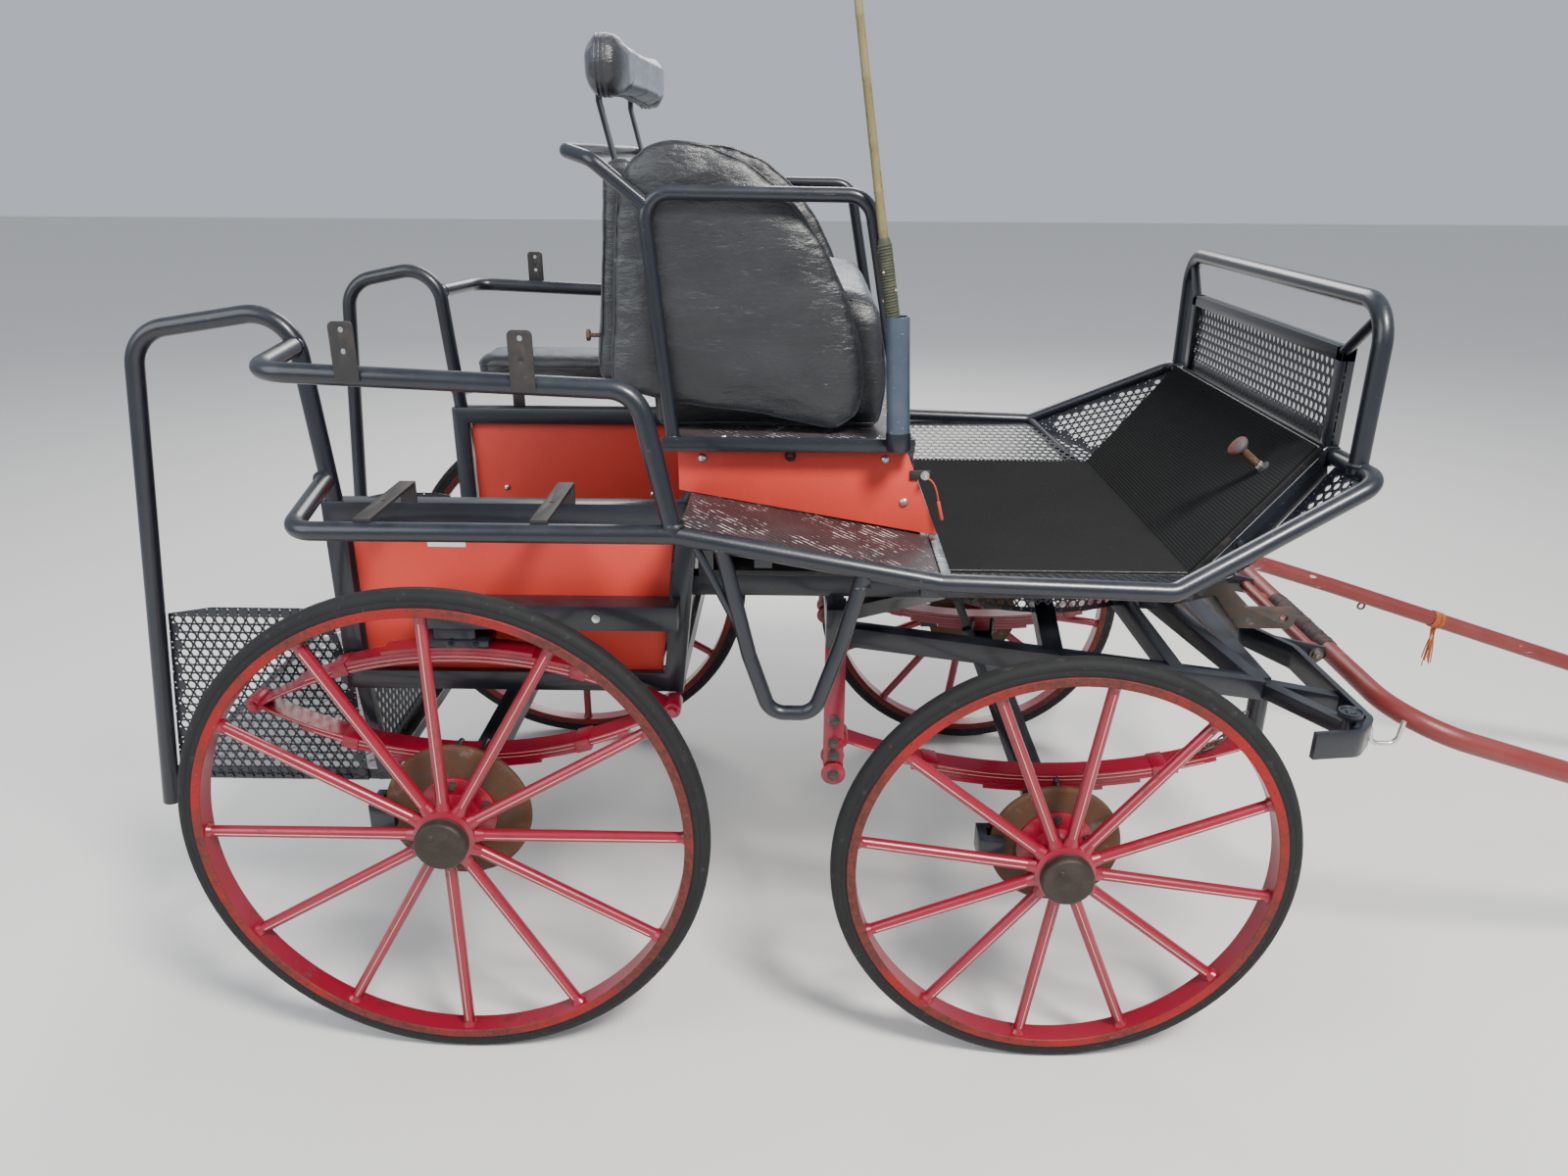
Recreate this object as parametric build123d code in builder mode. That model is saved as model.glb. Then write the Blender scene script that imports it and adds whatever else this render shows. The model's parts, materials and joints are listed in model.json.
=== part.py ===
from build123d import *
import math
import os

# A four-wheeled horse drawn carriage with a tubular steel body, a rear step box, full-elliptic
# rear springs and a turntable fore-carriage. X is forward, Y to the left, Z up, in millimetres.
# X places are given ahead of the rear axle and moved by AXLE_X, so that the origin lies on the
# ground below the middle of the whole length.

# Wheels
REAR_WHEEL_D = 1000
FRONT_WHEEL_D = 884
WHEELBASE = 1168
TRACK = 1326
TYRE_DEPTH = 30
TYRE_WIDTH = 38
RIM_DEPTH = 18
RIM_WIDTH = 44
SPOKES = 12
SPOKE_D = 24
FRONT_SPOKE_TURN = 22
HUB_D = 84
HUB_LENGTH = 120
HUB_FLANGE_D = 116
HUB_FLANGE = 32
CAP_D = 100
CAP_DEPTH = 26
CAP_BORE = 13
STUB_D = 40
STUB_OUT = 9
RUNNING_GAP = 0.05
REAR_DISC_D = 285
FRONT_DISC_D = 256
DISC_WIDTH = 12
DISC_INSET = 100

# Axles and springs
AXLE_BAR = 50
AXLE_END_GAP = 8
CALIPER_GAP = 6
CALIPER_JAW = 18
CALIPER_ARM = 14
CALIPER_LENGTH = 60
TIE_Y = 300
TIE_HEAD_X = 1012
TIE_HEAD_Z = 780
TIE_BAR = 22
SPRING_WIDTH = 50
LEAF = 8
SADDLE = 80
SADDLE_THICK = 10
UPPER_SADDLE_THICK = 38
SPRING_EYE_D = 34
REAR_SPRING_Y = 472
REAR_SPRING_SPAN = 828
REAR_SPRING_EYE_Z = 680
REAR_SPRING_CAMBER = 108
REAR_LEAVES = 4
FRONT_SPRING_Y = 420
FRONT_SPRING_SPAN = 840
FRONT_SPRING_CAMBER = 80
FRONT_LEAVES = 5

# Rear body
FRAME_BAR = 40
BODY_REAR = -247
BODY_FRONT = 430
BODY_HALF_WIDTH = 437
BODY_BOTTOM = 692
BODY_TOP = 1084
FRONT_POST_LEAN = 42
SIDE_BAR_REAR = -60
SIDE_BAR_HEIGHT = 49
SHEET = 3
PANEL = 6
PANEL_GAP = 5

# Rear step box
STEP_REAR = -655
STEP_FRONT = -200
STEP_Z = 485
STEP_BAR = 25
STEP_TOP = 838
STEP_ARCH = 14
STEP_KICK_LAP = 5

# Handles and rails
RAIL_D = 33.7
RAIL_Y = 665
RAIL_Z = 1102
RAIL_DROP = 82
RAIL_KNEE_X = 903
RAIL_BEND_X = 1303
RAIL_BEND_Z = 1007
NOSE_X = 1660
NOSE_Y = 575
NOSE_Z = 1180
RAIL_BEND = 45
HANDLE_Y = 420
HANDLE_BACK = 672
HANDLE_FOOT = 410
HANDLE_TOP = 1441
HANDLE_HEAD_X = -550
LEFT_HANDLE_BACK = 558
LEFT_HANDLE_HEAD_X = -482
HANDLE_HEAD_DROP = 46
HANDLE_BEND = 80
HANDLE_FRONT_X = -257
HANDLE_SINK = 10
UPPER_RAIL_Y = 655
UPPER_RAIL_Z = 1370
UPPER_RAIL_DROP = 26
UPPER_RAIL_FOOT = 450
UPPER_RAIL_HEAD_X = 395
UPPER_RAIL_BEND = 60
RAIL_PLATE_X = (-65, 217)
RAIL_PLATE = 40
RAIL_PLATE_HEIGHT = 95
RAIL_PLATE_LIFT = 12
RAIL_HOLE_D = 9
RAIL_HOLE_PITCH = 34
STEP_LOOP_D = 27
STEP_LOOP_Z = 768
STEP_LOOP_BEND = 36
STEP_STAY_D = 14

# Floor and front
PEDAL_DOWN = 90
PEDAL_REACH = 70
PEDAL_BELOW = 30
PEDAL_HEAD_D = 44
PEDAL_HEAD = 12
FLOOR_TOP = 948
FLOOR_THICK = 12
MAT = 6
MAT_REAR = 930
FOOTBOARD_FOOT = 1412
FOOTBOARD_HEAD = 1618
FOOTBOARD_TOP = 1204
FLOOR_HALF_WIDTH = 420
FOOT_CHEEK = 105
HEAD_BAR_X = 1632
HEAD_BAR_Z = 1166
HEAD_BAR_DEPTH = 25
HEAD_BAR_HEIGHT = 36
DASH_X = 1650
DASH_TOP = 1471
DASH_HALF_WIDTH = 507
DASH_BEND = 74
DASH_SCREEN_TOP = 1382
DASH_SCREEN_HALF_WIDTH = 412
DASH_EDGE = 25
FLOOR_CROSS_X = (490, 930, 1380)
OUTRIGGER_X = (600, 885)
OUTRIGGER = 30
OUTRIGGER_DEPTH = 20
NOSE_STAY_D = 27
WING_HEAD_X = 1612
WING_HEAD_Z = 1098

# Driver's seat
SEAT_Z = 1215
SEAT_PLATE = 12
SEAT_RAIL = 25
SEAT_REAR_X = 410
SEAT_FRONT_X = 868
SEAT_HALF_WIDTH = 455
SEAT_LEG_X = (480, 850)
SEAT_LEG = 30
CHEEK_TOP_GAP = 18
SEAT_INNER = 374
SEAT_SIDE = 46
SOFT_GAP = 0.3
ARM_D = 25
ARM_Y = 440
ARM_TOP = 1640
REAR_BAR_X = 250
REAR_BAR_Z = 1705
REAR_BAR_HALF_WIDTH = 385
PAD_REAR = 284
PAD_THICK = 50
PAD_HALF_WIDTH = 330
PAD_BOTTOM = 1790
PAD_TOP = 1902
BACK_BAR = 40
BACK_BAR_THICK = 6
BACK_BAR_Y = 200

# Whip and its socket
SOCKET_D = 42
SOCKET_BORE = 37
SOCKET_X = 838
SOCKET_TOP = 1440
WHIP_D = 18
WHIP_LEAN = 8.2
WHIP_GRIP = 135
SOCKET_LEAN = 2.6
WHIP_LENGTH = 1385

# Side cushion and its brackets
BRACKET_X = (-78, 222)
BRACKET_WIDTH = 30
BRACKET_THICK = 6
BRACKET_HOLE_D = 9
BRACKET_HOLE_Y = 560
CUSHION_INNER = 443
CUSHION_OUTER = 652
CUSHION_REAR = -206
CUSHION_FRONT = 395
CUSHION_THICK = 78
CUSHION_CORNER = 60

# Small red lever
LEVER_X = 862
LEVER_Z = 1148
LEVER_RUN = 50
LEVER_FALL = 70
LEVER_JOINT_D = 24
LEVER_WIDTH = 14
LEVER_THICK = 8

# Fore-carriage
RING_D = 560
RING_WIDTH = 40
RING_Z = 860
RING_THICK = 12
RING_GAP = 0.3
KING_PIN_D = 40
KING_BOSS_D = 80
FORE_HALF_WIDTH = 420
FORE_NOSE_X = 1587
FORE_NOSE_Z = 711
FORE_TAIL_X = 735
FORE_TAIL_Z = 820
FORE_CROSS_X = 1400
STRUT_X = 1338
HANGER_BOTTOM = 505
HANGER_THICK = 8
SPLINTER_X = 1720
SPLINTER_SET_BACK = 70
SPLINTER_THICK = 12
SPLINTER_HEIGHT = 52
ROLLER_D = 44
ROLLER_THICK = 10
ROLLER_NECK_D = 24
ROLLER_SET_BACK = 41
ROLLER_Y = 600
SPLINTER_TIP_X = 1592
SPLINTER_TIP_Y = 658
HOOK_Y = 590
HOOK_D = 9
POLE_LUG_Y = 250
POLE_LUG_X = 1690
POLE_LUG_Z = 789
POLE_LUG_THICK = 10
POLE_LUG_LENGTH = 100
POLE_ARM_RUN = 46
POLE_ARM_RISE = 74
POLE_LUG_HOLE_D = 16

# Shafts
HINGE_X = 1790
HINGE_Z = 690
HINGE_TUBE_D = 27
HINGE_PIN_D = 16
HINGE_PIN_LENGTH = 40
HINGE_HALF_WIDTH = 200
HINGE_SIDE_GAP = 5
LUG_THICK = 8
SHAFT_D = 42.4
SHAFT_LENGTH = 2300
SHAFT_CROSS = 58
SHAFT_SHOULDER = 400
SHAFT_HALF_WIDTH = 500
SHAFT_TIP_Y = 360
SHAFT_BEND = 140

# Worked out from the values above
SIDES = ((-1, "right"), (1, "left"))
REAR_R = REAR_WHEEL_D / 2
FRONT_R = FRONT_WHEEL_D / 2
SHAFT_DROOP = math.asin((HINGE_Z - SHAFT_D / 2) / SHAFT_LENGTH)
REACH = HINGE_X + SHAFT_LENGTH * math.cos(SHAFT_DROOP) + SHAFT_D / 2
AXLE_X = (HANDLE_BACK + RAIL_D / 2 - REACH) / 2
BAR_Y = BODY_HALF_WIDTH - FRAME_BAR / 2
SPRING_SEAT_Z = REAR_SPRING_EYE_Z + REAR_SPRING_CAMBER + (REAR_LEAVES - 1) * LEAF + UPPER_SADDLE_THICK
FLOOR_BAR_Z = FLOOR_TOP - FLOOR_THICK - FRAME_BAR
FLOOR_BAR_Y = FLOOR_HALF_WIDTH - FRAME_BAR / 2
CHEEK_OUTER = FLOOR_HALF_WIDTH + SHEET
RAIL_KNEE_Z = RAIL_Z - RAIL_DROP
RAIL_SLOPE = RAIL_DROP / (RAIL_KNEE_X - UPPER_RAIL_FOOT)
FOOT_ANGLE = math.atan2(FOOTBOARD_TOP - FLOOR_TOP, FOOTBOARD_HEAD - FOOTBOARD_FOOT)
FOOT_SLOPE = math.hypot(FOOTBOARD_TOP - FLOOR_TOP, FOOTBOARD_HEAD - FOOTBOARD_FOOT)
RING_LOW = RING_Z - RING_GAP - RING_THICK
SOCKET_Y = ARM_Y + ARM_D / 2 + SOCKET_D / 2

os.makedirs("parts", exist_ok=True)


def spot(x, y, z):
    """A point, with its X given ahead of the rear axle."""
    return Vector(AXLE_X + x, y, z)


def add_tube(points, diameter, bend=0):
    """Add a round tube to the part being built, its centre line bent at each inner point."""
    with BuildLine() as path:
        if bend:
            FilletPolyline(*points, radius=bend)
        else:
            Polyline(*points)
    route = path.wire()
    with BuildSketch(Plane(origin=route @ 0, z_dir=route % 0)) as section:
        Circle(diameter / 2)
    sweep(section.sketch, path=route)


def add_bar(start, end, width, height):
    """Add a straight bar of rectangular section, its height as near upright as its run allows."""
    run = end - start
    level = Vector(0, 0, 1).cross(run)
    side = level if level.length > 1 else Vector(0, 1, 0)
    with BuildSketch(Plane(origin=start, x_dir=side, z_dir=run)) as section:
        Rectangle(width, height)
    extrude(section.sketch, amount=run.length)


def add_box(x_span, y_span, z_span, mode=Mode.ADD):
    """Add a box between two places along each axis, with X given ahead of the rear axle."""
    low = spot(min(x_span), min(y_span), min(z_span))
    high = spot(max(x_span), max(y_span), max(z_span))
    with BuildSketch(Plane.XY.offset(low.Z)) as section:
        with Locations(((low.X + high.X) / 2, (low.Y + high.Y) / 2)):
            Rectangle(high.X - low.X, high.Y - low.Y)
    extrude(section.sketch, amount=high.Z - low.Z, mode=mode)


def add_plate(outline, y_start, thick):
    """Add an upright plate from an outline of (x, z) points, thick towards +Y from y_start."""
    plane = Plane(origin=spot(0, y_start, 0), x_dir=(1, 0, 0), z_dir=(0, -1, 0))
    with BuildSketch(plane) as face:
        with BuildLine():
            Polyline(*outline, close=True)
        make_face()
    extrude(face.sketch, amount=-thick)


def add_disc(x, y, z, diameter, length, mode=Mode.ADD):
    """Add a cylinder along Y, starting at y and running towards +Y."""
    plane = Plane(origin=spot(x, y, z), x_dir=(1, 0, 0), z_dir=(0, -1, 0))
    with BuildSketch(plane) as face:
        Circle(diameter / 2)
    extrude(face.sketch, amount=-length, mode=mode)


def add_sheet(corners, thick):
    """Add a flat sheet from its corners in space, thick along the outline's own normal."""
    along_edge = corners[1] - corners[0]
    plane = Plane(origin=corners[0], x_dir=along_edge, z_dir=along_edge.cross(corners[-1] - corners[0]))
    with BuildSketch(plane) as sheet:
        with BuildLine():
            Polyline(*[plane.to_local_coords(corner) for corner in corners], close=True)
        make_face()
    extrude(sheet.sketch, amount=thick)


def cut_away(*others):
    """Fit the part being built round pieces that it is welded to or stands on."""
    for other in others:
        add(other.part, mode=Mode.SUBTRACT)


def write(builder, label):
    """Label a finished part and write its file."""
    builder.part.label = label
    export_step(builder.part, f"parts/{label}.step")


def pair(side, near, far):
    """A span in Y between two distances from the middle, on one side."""
    return (side * near, side * far)


# Wheels, each with its tyre, and its iron hub cap and brake disc
def wheel_plane(x, side, z):
    """The wheel's own plane, its Z pointing out of the carriage."""
    return Plane(origin=spot(x, side * TRACK / 2, z), x_dir=(1, 0, 0), z_dir=(0, side, 0))


AXLES = (
    # name, x, wheel diameter, turn of the first spoke, brake disc diameter
    ("rear", 0, REAR_WHEEL_D, 0, REAR_DISC_D),
    ("front", WHEELBASE, FRONT_WHEEL_D, FRONT_SPOKE_TURN, FRONT_DISC_D),
)
HUB_FACE = RIM_WIDTH / 2
for axle, axle_x, wheel_d, turn, disc_d in AXLES:
    rim_r = wheel_d / 2 - TYRE_DEPTH
    for side, hand in SIDES:
        plane = wheel_plane(axle_x, side, wheel_d / 2)
        section_plane = Plane(origin=plane.origin, x_dir=plane.x_dir, z_dir=(0, 0, 1))
        with BuildPart() as tyre:
            with BuildSketch(section_plane):
                with Locations((rim_r + TYRE_DEPTH / 2, 0)):
                    RectangleRounded(TYRE_DEPTH, TYRE_WIDTH, TYRE_DEPTH / 3)
            revolve(axis=Axis(plane.origin, plane.z_dir))
        write(tyre, f"{axle}_tyre_{hand}")

        with BuildPart() as wheel:
            with BuildSketch(plane.offset(-RIM_WIDTH / 2)):
                Circle(rim_r)
                Circle(rim_r - RIM_DEPTH, mode=Mode.SUBTRACT)
            extrude(amount=RIM_WIDTH)
            with BuildSketch(plane.offset(HUB_FACE)):
                Circle(HUB_D / 2)
            extrude(amount=-HUB_LENGTH)
            with BuildSketch(plane.offset(-HUB_FLANGE / 2)):
                Circle(HUB_FLANGE_D / 2)
            extrude(amount=HUB_FLANGE)
            for spoke in range(SPOKES):
                angle = math.radians(turn + spoke * 360 / SPOKES)
                outward = plane.x_dir * math.cos(angle) + Vector(0, 0, 1) * math.sin(angle)
                foot = HUB_D / 2
                with BuildSketch(Plane(origin=plane.origin + outward * foot, z_dir=outward)):
                    Circle(SPOKE_D / 2)
                extrude(amount=rim_r - RIM_DEPTH / 2 - foot)
            with BuildSketch(plane.offset(HUB_FACE)):
                Circle(STUB_D / 2 + RUNNING_GAP)
            extrude(amount=-HUB_LENGTH, mode=Mode.SUBTRACT)
        write(wheel, f"{axle}_wheel_{hand}")

        with BuildPart() as irons:
            with BuildSketch(plane.offset(HUB_FACE)):
                Circle(CAP_D / 2)
            extrude(amount=CAP_DEPTH)
            with BuildSketch(plane.offset(HUB_FACE)):
                Circle(STUB_D / 2 + RUNNING_GAP)
            extrude(amount=CAP_BORE, mode=Mode.SUBTRACT)
            with BuildSketch(plane.offset(HUB_FACE - DISC_INSET)):
                Circle(disc_d / 2)
                Circle(HUB_D / 2, mode=Mode.SUBTRACT)
            extrude(amount=-DISC_WIDTH)
        write(irons, f"{axle}_hub_irons_{hand}")


# Axles, with a brake caliper straddling each disc
def add_axle(x, z, disc_d, caliper_side):
    """Add an axle bar with its stubs and calipers, which stand ahead of or behind it."""
    face_y = TRACK / 2 + HUB_FACE
    inner = face_y - HUB_LENGTH - AXLE_END_GAP
    reach = face_y + STUB_OUT
    add_box((x - AXLE_BAR / 2, x + AXLE_BAR / 2), (-inner, inner), (z - AXLE_BAR / 2, z + AXLE_BAR / 2))
    add_disc(x, -reach, z, STUB_D, 2 * reach)
    disc_out = face_y - DISC_INSET
    arm_out = face_y - HUB_LENGTH - CALIPER_GAP / 2
    crown = disc_d / 2 + CALIPER_GAP
    for side, hand in SIDES:
        arm = (x, x + caliper_side * (crown + CALIPER_JAW))
        jaw = (x + caliper_side * (crown - CALIPER_LENGTH / 2), x + caliper_side * (crown + CALIPER_JAW))
        bridge = (x + caliper_side * crown, x + caliper_side * (crown + CALIPER_JAW))
        height = (z - AXLE_BAR / 2, z + AXLE_BAR / 2)
        add_box(arm, pair(side, arm_out - CALIPER_ARM, arm_out), height)
        add_box(bridge, pair(side, arm_out, disc_out + CALIPER_GAP), height)
        add_box(jaw, pair(side, disc_out + CALIPER_GAP, disc_out + CALIPER_GAP + CALIPER_JAW), height)


with BuildPart() as rear_axle:
    add_axle(0, REAR_R, REAR_DISC_D, -1)
write(rear_axle, "rear_axle")

with BuildPart() as front_axle:
    add_axle(WHEELBASE, FRONT_R, FRONT_DISC_D, -1)
    for side, hand in SIDES:
        foot = spot(WHEELBASE - AXLE_BAR / 2, side * TIE_Y, FRONT_R)
        add_bar(foot, spot(TIE_HEAD_X, side * TIE_Y, TIE_HEAD_Z), TIE_BAR, TIE_BAR)
write(front_axle, "front_axle")


# Springs
def add_leaves(x, y, crown_z, camber, span, count, up):
    """Add a pack of curved leaves, each shorter than the one before.

    crown_z is the middle of the long leaf, on the side away from its ends, camber is how far the
    ends lie from there, and up is 1 where the ends point up.
    """
    half = span / 2
    radius = (half * half + camber * camber) / (2 * camber)
    centre = spot(x, y - SPRING_WIDTH / 2, crown_z + up * radius)
    plane = Plane(origin=centre, x_dir=(1, 0, 0), z_dir=(0, 1, 0))
    for leaf in range(count):
        inner = radius - LEAF + leaf * LEAF
        outer = inner + LEAF
        angle = math.asin(half * (1 - leaf / (count + 0.6)) / radius)
        across = math.sin(angle)
        down = up * math.cos(angle)
        with BuildSketch(plane) as strip:
            with BuildLine():
                ThreePointArc((-inner * across, inner * down), (0, up * inner), (inner * across, inner * down))
                Line((inner * across, inner * down), (outer * across, outer * down))
                ThreePointArc((outer * across, outer * down), (0, up * outer), (-outer * across, outer * down))
                Line((-outer * across, outer * down), (-inner * across, inner * down))
            make_face()
        extrude(strip.sketch, amount=SPRING_WIDTH)


def add_saddle(x, y, z_span):
    """Add the plate that a spring's middle is clamped to."""
    half = SPRING_WIDTH / 2
    add_box((x - SADDLE / 2, x + SADDLE / 2), (y - half, y + half), z_span)


with BuildPart() as rear_springs:
    lower_crown = REAR_SPRING_EYE_Z - REAR_SPRING_CAMBER
    upper_crown = REAR_SPRING_EYE_Z + REAR_SPRING_CAMBER
    pack = (REAR_LEAVES - 1) * LEAF
    for side, hand in SIDES:
        spring_y = side * REAR_SPRING_Y
        add_leaves(0, spring_y, lower_crown, REAR_SPRING_CAMBER, REAR_SPRING_SPAN, REAR_LEAVES, 1)
        add_leaves(0, spring_y, upper_crown, REAR_SPRING_CAMBER, REAR_SPRING_SPAN, REAR_LEAVES, -1)
        for end in (-1, 1):
            eye_x = end * REAR_SPRING_SPAN / 2
            add_disc(eye_x, spring_y - SPRING_WIDTH / 2, REAR_SPRING_EYE_Z, SPRING_EYE_D, SPRING_WIDTH)
        add_saddle(0, spring_y, (REAR_R + AXLE_BAR / 2, lower_crown - pack + LEAF))
        add_saddle(0, spring_y, (upper_crown + pack - LEAF, SPRING_SEAT_Z))
write(rear_springs, "rear_springs")

FRONT_CROWN = FRONT_R + AXLE_BAR / 2 + SADDLE_THICK + (FRONT_LEAVES - 1) * LEAF
FRONT_EYE_Z = FRONT_CROWN + FRONT_SPRING_CAMBER
with BuildPart() as front_springs:
    for side, hand in SIDES:
        spring_y = side * FRONT_SPRING_Y
        add_leaves(WHEELBASE, spring_y, FRONT_CROWN, FRONT_SPRING_CAMBER, FRONT_SPRING_SPAN, FRONT_LEAVES, 1)
        add_saddle(WHEELBASE, spring_y, (FRONT_R + AXLE_BAR / 2, FRONT_CROWN))
        for end in (-1, 1):
            eye_x = WHEELBASE + end * FRONT_SPRING_SPAN / 2
            add_disc(eye_x, spring_y - SPRING_WIDTH / 2, FRONT_EYE_Z, SPRING_EYE_D, SPRING_WIDTH)
write(front_springs, "front_springs")

# Rear body: an open tub of square tube with red side panels
POST_SLOPE = FRONT_POST_LEAN / (BODY_TOP - BODY_BOTTOM)


def post_x(z):
    """The middle of the leaning front post at a height."""
    return BODY_FRONT - FRAME_BAR / 2 + POST_SLOPE * (z - BODY_BOTTOM)


with BuildPart() as rear_frame:
    low_z = (BODY_BOTTOM, BODY_BOTTOM + FRAME_BAR)
    top_z = (BODY_TOP - FRAME_BAR, BODY_TOP)
    post_top = BODY_TOP - FRAME_BAR / 2
    for side, hand in SIDES:
        y_span = pair(side, BAR_Y - FRAME_BAR / 2, BODY_HALF_WIDTH)
        add_box((BODY_REAR, BODY_REAR + FRAME_BAR), y_span, (BODY_BOTTOM, BODY_TOP))
        add_box((BODY_REAR, BODY_FRONT), y_span, low_z)
        add_box((BODY_REAR, BODY_FRONT + FRONT_POST_LEAN), y_span, top_z)
        post_foot = spot(post_x(BODY_BOTTOM), side * BAR_Y, BODY_BOTTOM)
        add_bar(post_foot, spot(post_x(post_top), side * BAR_Y, post_top), FRAME_BAR, FRAME_BAR)
        bar_y = pair(side, BODY_HALF_WIDTH, REAR_SPRING_Y + SPRING_WIDTH / 2)
        add_box((SIDE_BAR_REAR, BODY_FRONT), bar_y, (SPRING_SEAT_Z, SPRING_SEAT_Z + SIDE_BAR_HEIGHT))
    add_box((BODY_REAR, BODY_REAR + FRAME_BAR), (-BAR_Y, BAR_Y), low_z)
    add_box((BODY_FRONT - FRAME_BAR, BODY_FRONT), (-BAR_Y, BAR_Y), low_z)
    top_front = BODY_FRONT + FRONT_POST_LEAN
    add_box((top_front - FRAME_BAR, top_front), (-BAR_Y, BAR_Y), top_z)
    wall_low = post_x(BODY_BOTTOM + FRAME_BAR / 2)
    wall_high = post_x(post_top)
    wall = (
        (wall_low, BODY_BOTTOM + FRAME_BAR / 2),
        (wall_low + SHEET, BODY_BOTTOM + FRAME_BAR / 2),
        (wall_high + SHEET, post_top),
        (wall_high, post_top),
    )
    add_plate(wall, -BAR_Y, 2 * BAR_Y)
write(rear_frame, "rear_frame")

with BuildPart() as side_panels:
    foot_z = BODY_BOTTOM + FRAME_BAR
    head_z = BODY_TOP - FRAME_BAR
    edge = FRAME_BAR / 2 + PANEL_GAP
    panel = (
        (BODY_REAR + FRAME_BAR + PANEL_GAP, foot_z),
        (post_x(foot_z) - edge, foot_z),
        (post_x(head_z) - edge, head_z),
        (BODY_REAR + FRAME_BAR + PANEL_GAP, head_z),
    )
    for side, hand in SIDES:
        add_plate(panel, side * BAR_Y - PANEL / 2, PANEL)
write(side_panels, "side_panels")

with BuildPart() as rear_floor:
    floor_z = BODY_BOTTOM + FRAME_BAR
    inner_y = BAR_Y - PANEL / 2
    floor_x = (BODY_REAR + FRAME_BAR, BODY_FRONT - FRAME_BAR - PANEL_GAP)
    add_box(floor_x, (-inner_y, inner_y), (floor_z, floor_z + FLOOR_THICK))
write(rear_floor, "rear_floor")

# Grab handles at the rear corners
HANDLE_HEAD = HANDLE_TOP - HANDLE_HEAD_DROP
REAR_LEGS = {
    # side: x of the rear leg's foot and head, the left handle being the narrower
    -1: (-HANDLE_BACK, HANDLE_HEAD_X),
    1: (-LEFT_HANDLE_BACK, LEFT_HANDLE_HEAD_X),
}


def rear_leg_x(side, z):
    """The middle of a handle's rear leg at a height."""
    foot_x, head_x = REAR_LEGS[side]
    return foot_x + (head_x - foot_x) * (z - HANDLE_FOOT) / (HANDLE_HEAD - HANDLE_FOOT)


with BuildPart() as handles:
    for side, hand in SIDES:
        foot_x, head_x = REAR_LEGS[side]
        hoop = (
            spot(foot_x, side * HANDLE_Y, HANDLE_FOOT),
            spot(head_x, side * HANDLE_Y, HANDLE_HEAD),
            spot(HANDLE_FRONT_X, side * HANDLE_Y, HANDLE_TOP),
            spot(BODY_REAR + FRAME_BAR / 2, side * HANDLE_Y, BODY_TOP - HANDLE_SINK),
        )
        add_tube(hoop, RAIL_D, HANDLE_BEND)
    cut_away(rear_frame)
write(handles, "handles")

# Rear step box with its perforated screens
STEP_Y = HANDLE_Y - RAIL_D / 2 - STEP_BAR / 2 + 1
STEP_LOW = STEP_Z - STEP_BAR
with BuildPart() as step_frame:
    for side, hand in SIDES:
        y_span = pair(side, STEP_Y - STEP_BAR / 2, STEP_Y + STEP_BAR / 2)
        add_box((STEP_REAR, STEP_FRONT), y_span, (STEP_LOW, STEP_Z))
        riser_foot = spot(STEP_FRONT - STEP_BAR / 2, side * STEP_Y, STEP_LOW)
        riser_head = spot(BODY_REAR + STEP_BAR / 2, side * STEP_Y, BODY_BOTTOM + STEP_KICK_LAP)
        add_bar(riser_foot, riser_head, STEP_BAR, STEP_BAR)
    for cross_x in (STEP_REAR, STEP_FRONT - STEP_BAR):
        add_box((cross_x, cross_x + STEP_BAR), (-STEP_Y, STEP_Y), (STEP_LOW, STEP_Z))
    cut_away(rear_frame, handles)
write(step_frame, "step_frame")

with BuildPart() as step_tread:
    tread_y = STEP_Y + STEP_BAR / 2
    add_box((STEP_REAR + STEP_BAR, STEP_FRONT), (-tread_y, tread_y), (STEP_Z, STEP_Z + SHEET))
    cut_away(handles, step_frame)
write(step_tread, "step_tread")

with BuildPart() as step_screens:
    kick = (
        (STEP_FRONT - STEP_BAR, STEP_Z),
        (STEP_FRONT - STEP_BAR + SHEET, STEP_Z),
        (BODY_REAR + SHEET, BODY_BOTTOM + STEP_KICK_LAP),
        (BODY_REAR, BODY_BOTTOM + STEP_KICK_LAP),
    )
    add_plate(kick, -STEP_Y, 2 * STEP_Y)
    for side, hand in SIDES:
        leg_low = rear_leg_x(side, STEP_LOW) + RAIL_D / 2
        leg_high = rear_leg_x(side, STEP_TOP) + RAIL_D / 2
        arch_run = (BODY_REAR - leg_high) / 4
        screen = (
            (leg_low, STEP_LOW),
            (STEP_FRONT, STEP_LOW),
            (BODY_REAR, BODY_BOTTOM),
            (BODY_REAR, STEP_TOP),
            (BODY_REAR - arch_run, STEP_TOP + STEP_ARCH),
            (leg_high + arch_run, STEP_TOP + STEP_ARCH),
            (leg_high, STEP_TOP),
        )
        outer_y = side * (STEP_Y + STEP_BAR / 2 + SHEET / 2)
        add_plate(screen, outer_y - SHEET / 2, SHEET)
    cut_away(rear_frame, step_frame, step_tread, handles)
write(step_screens, "step_screens")

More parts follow.
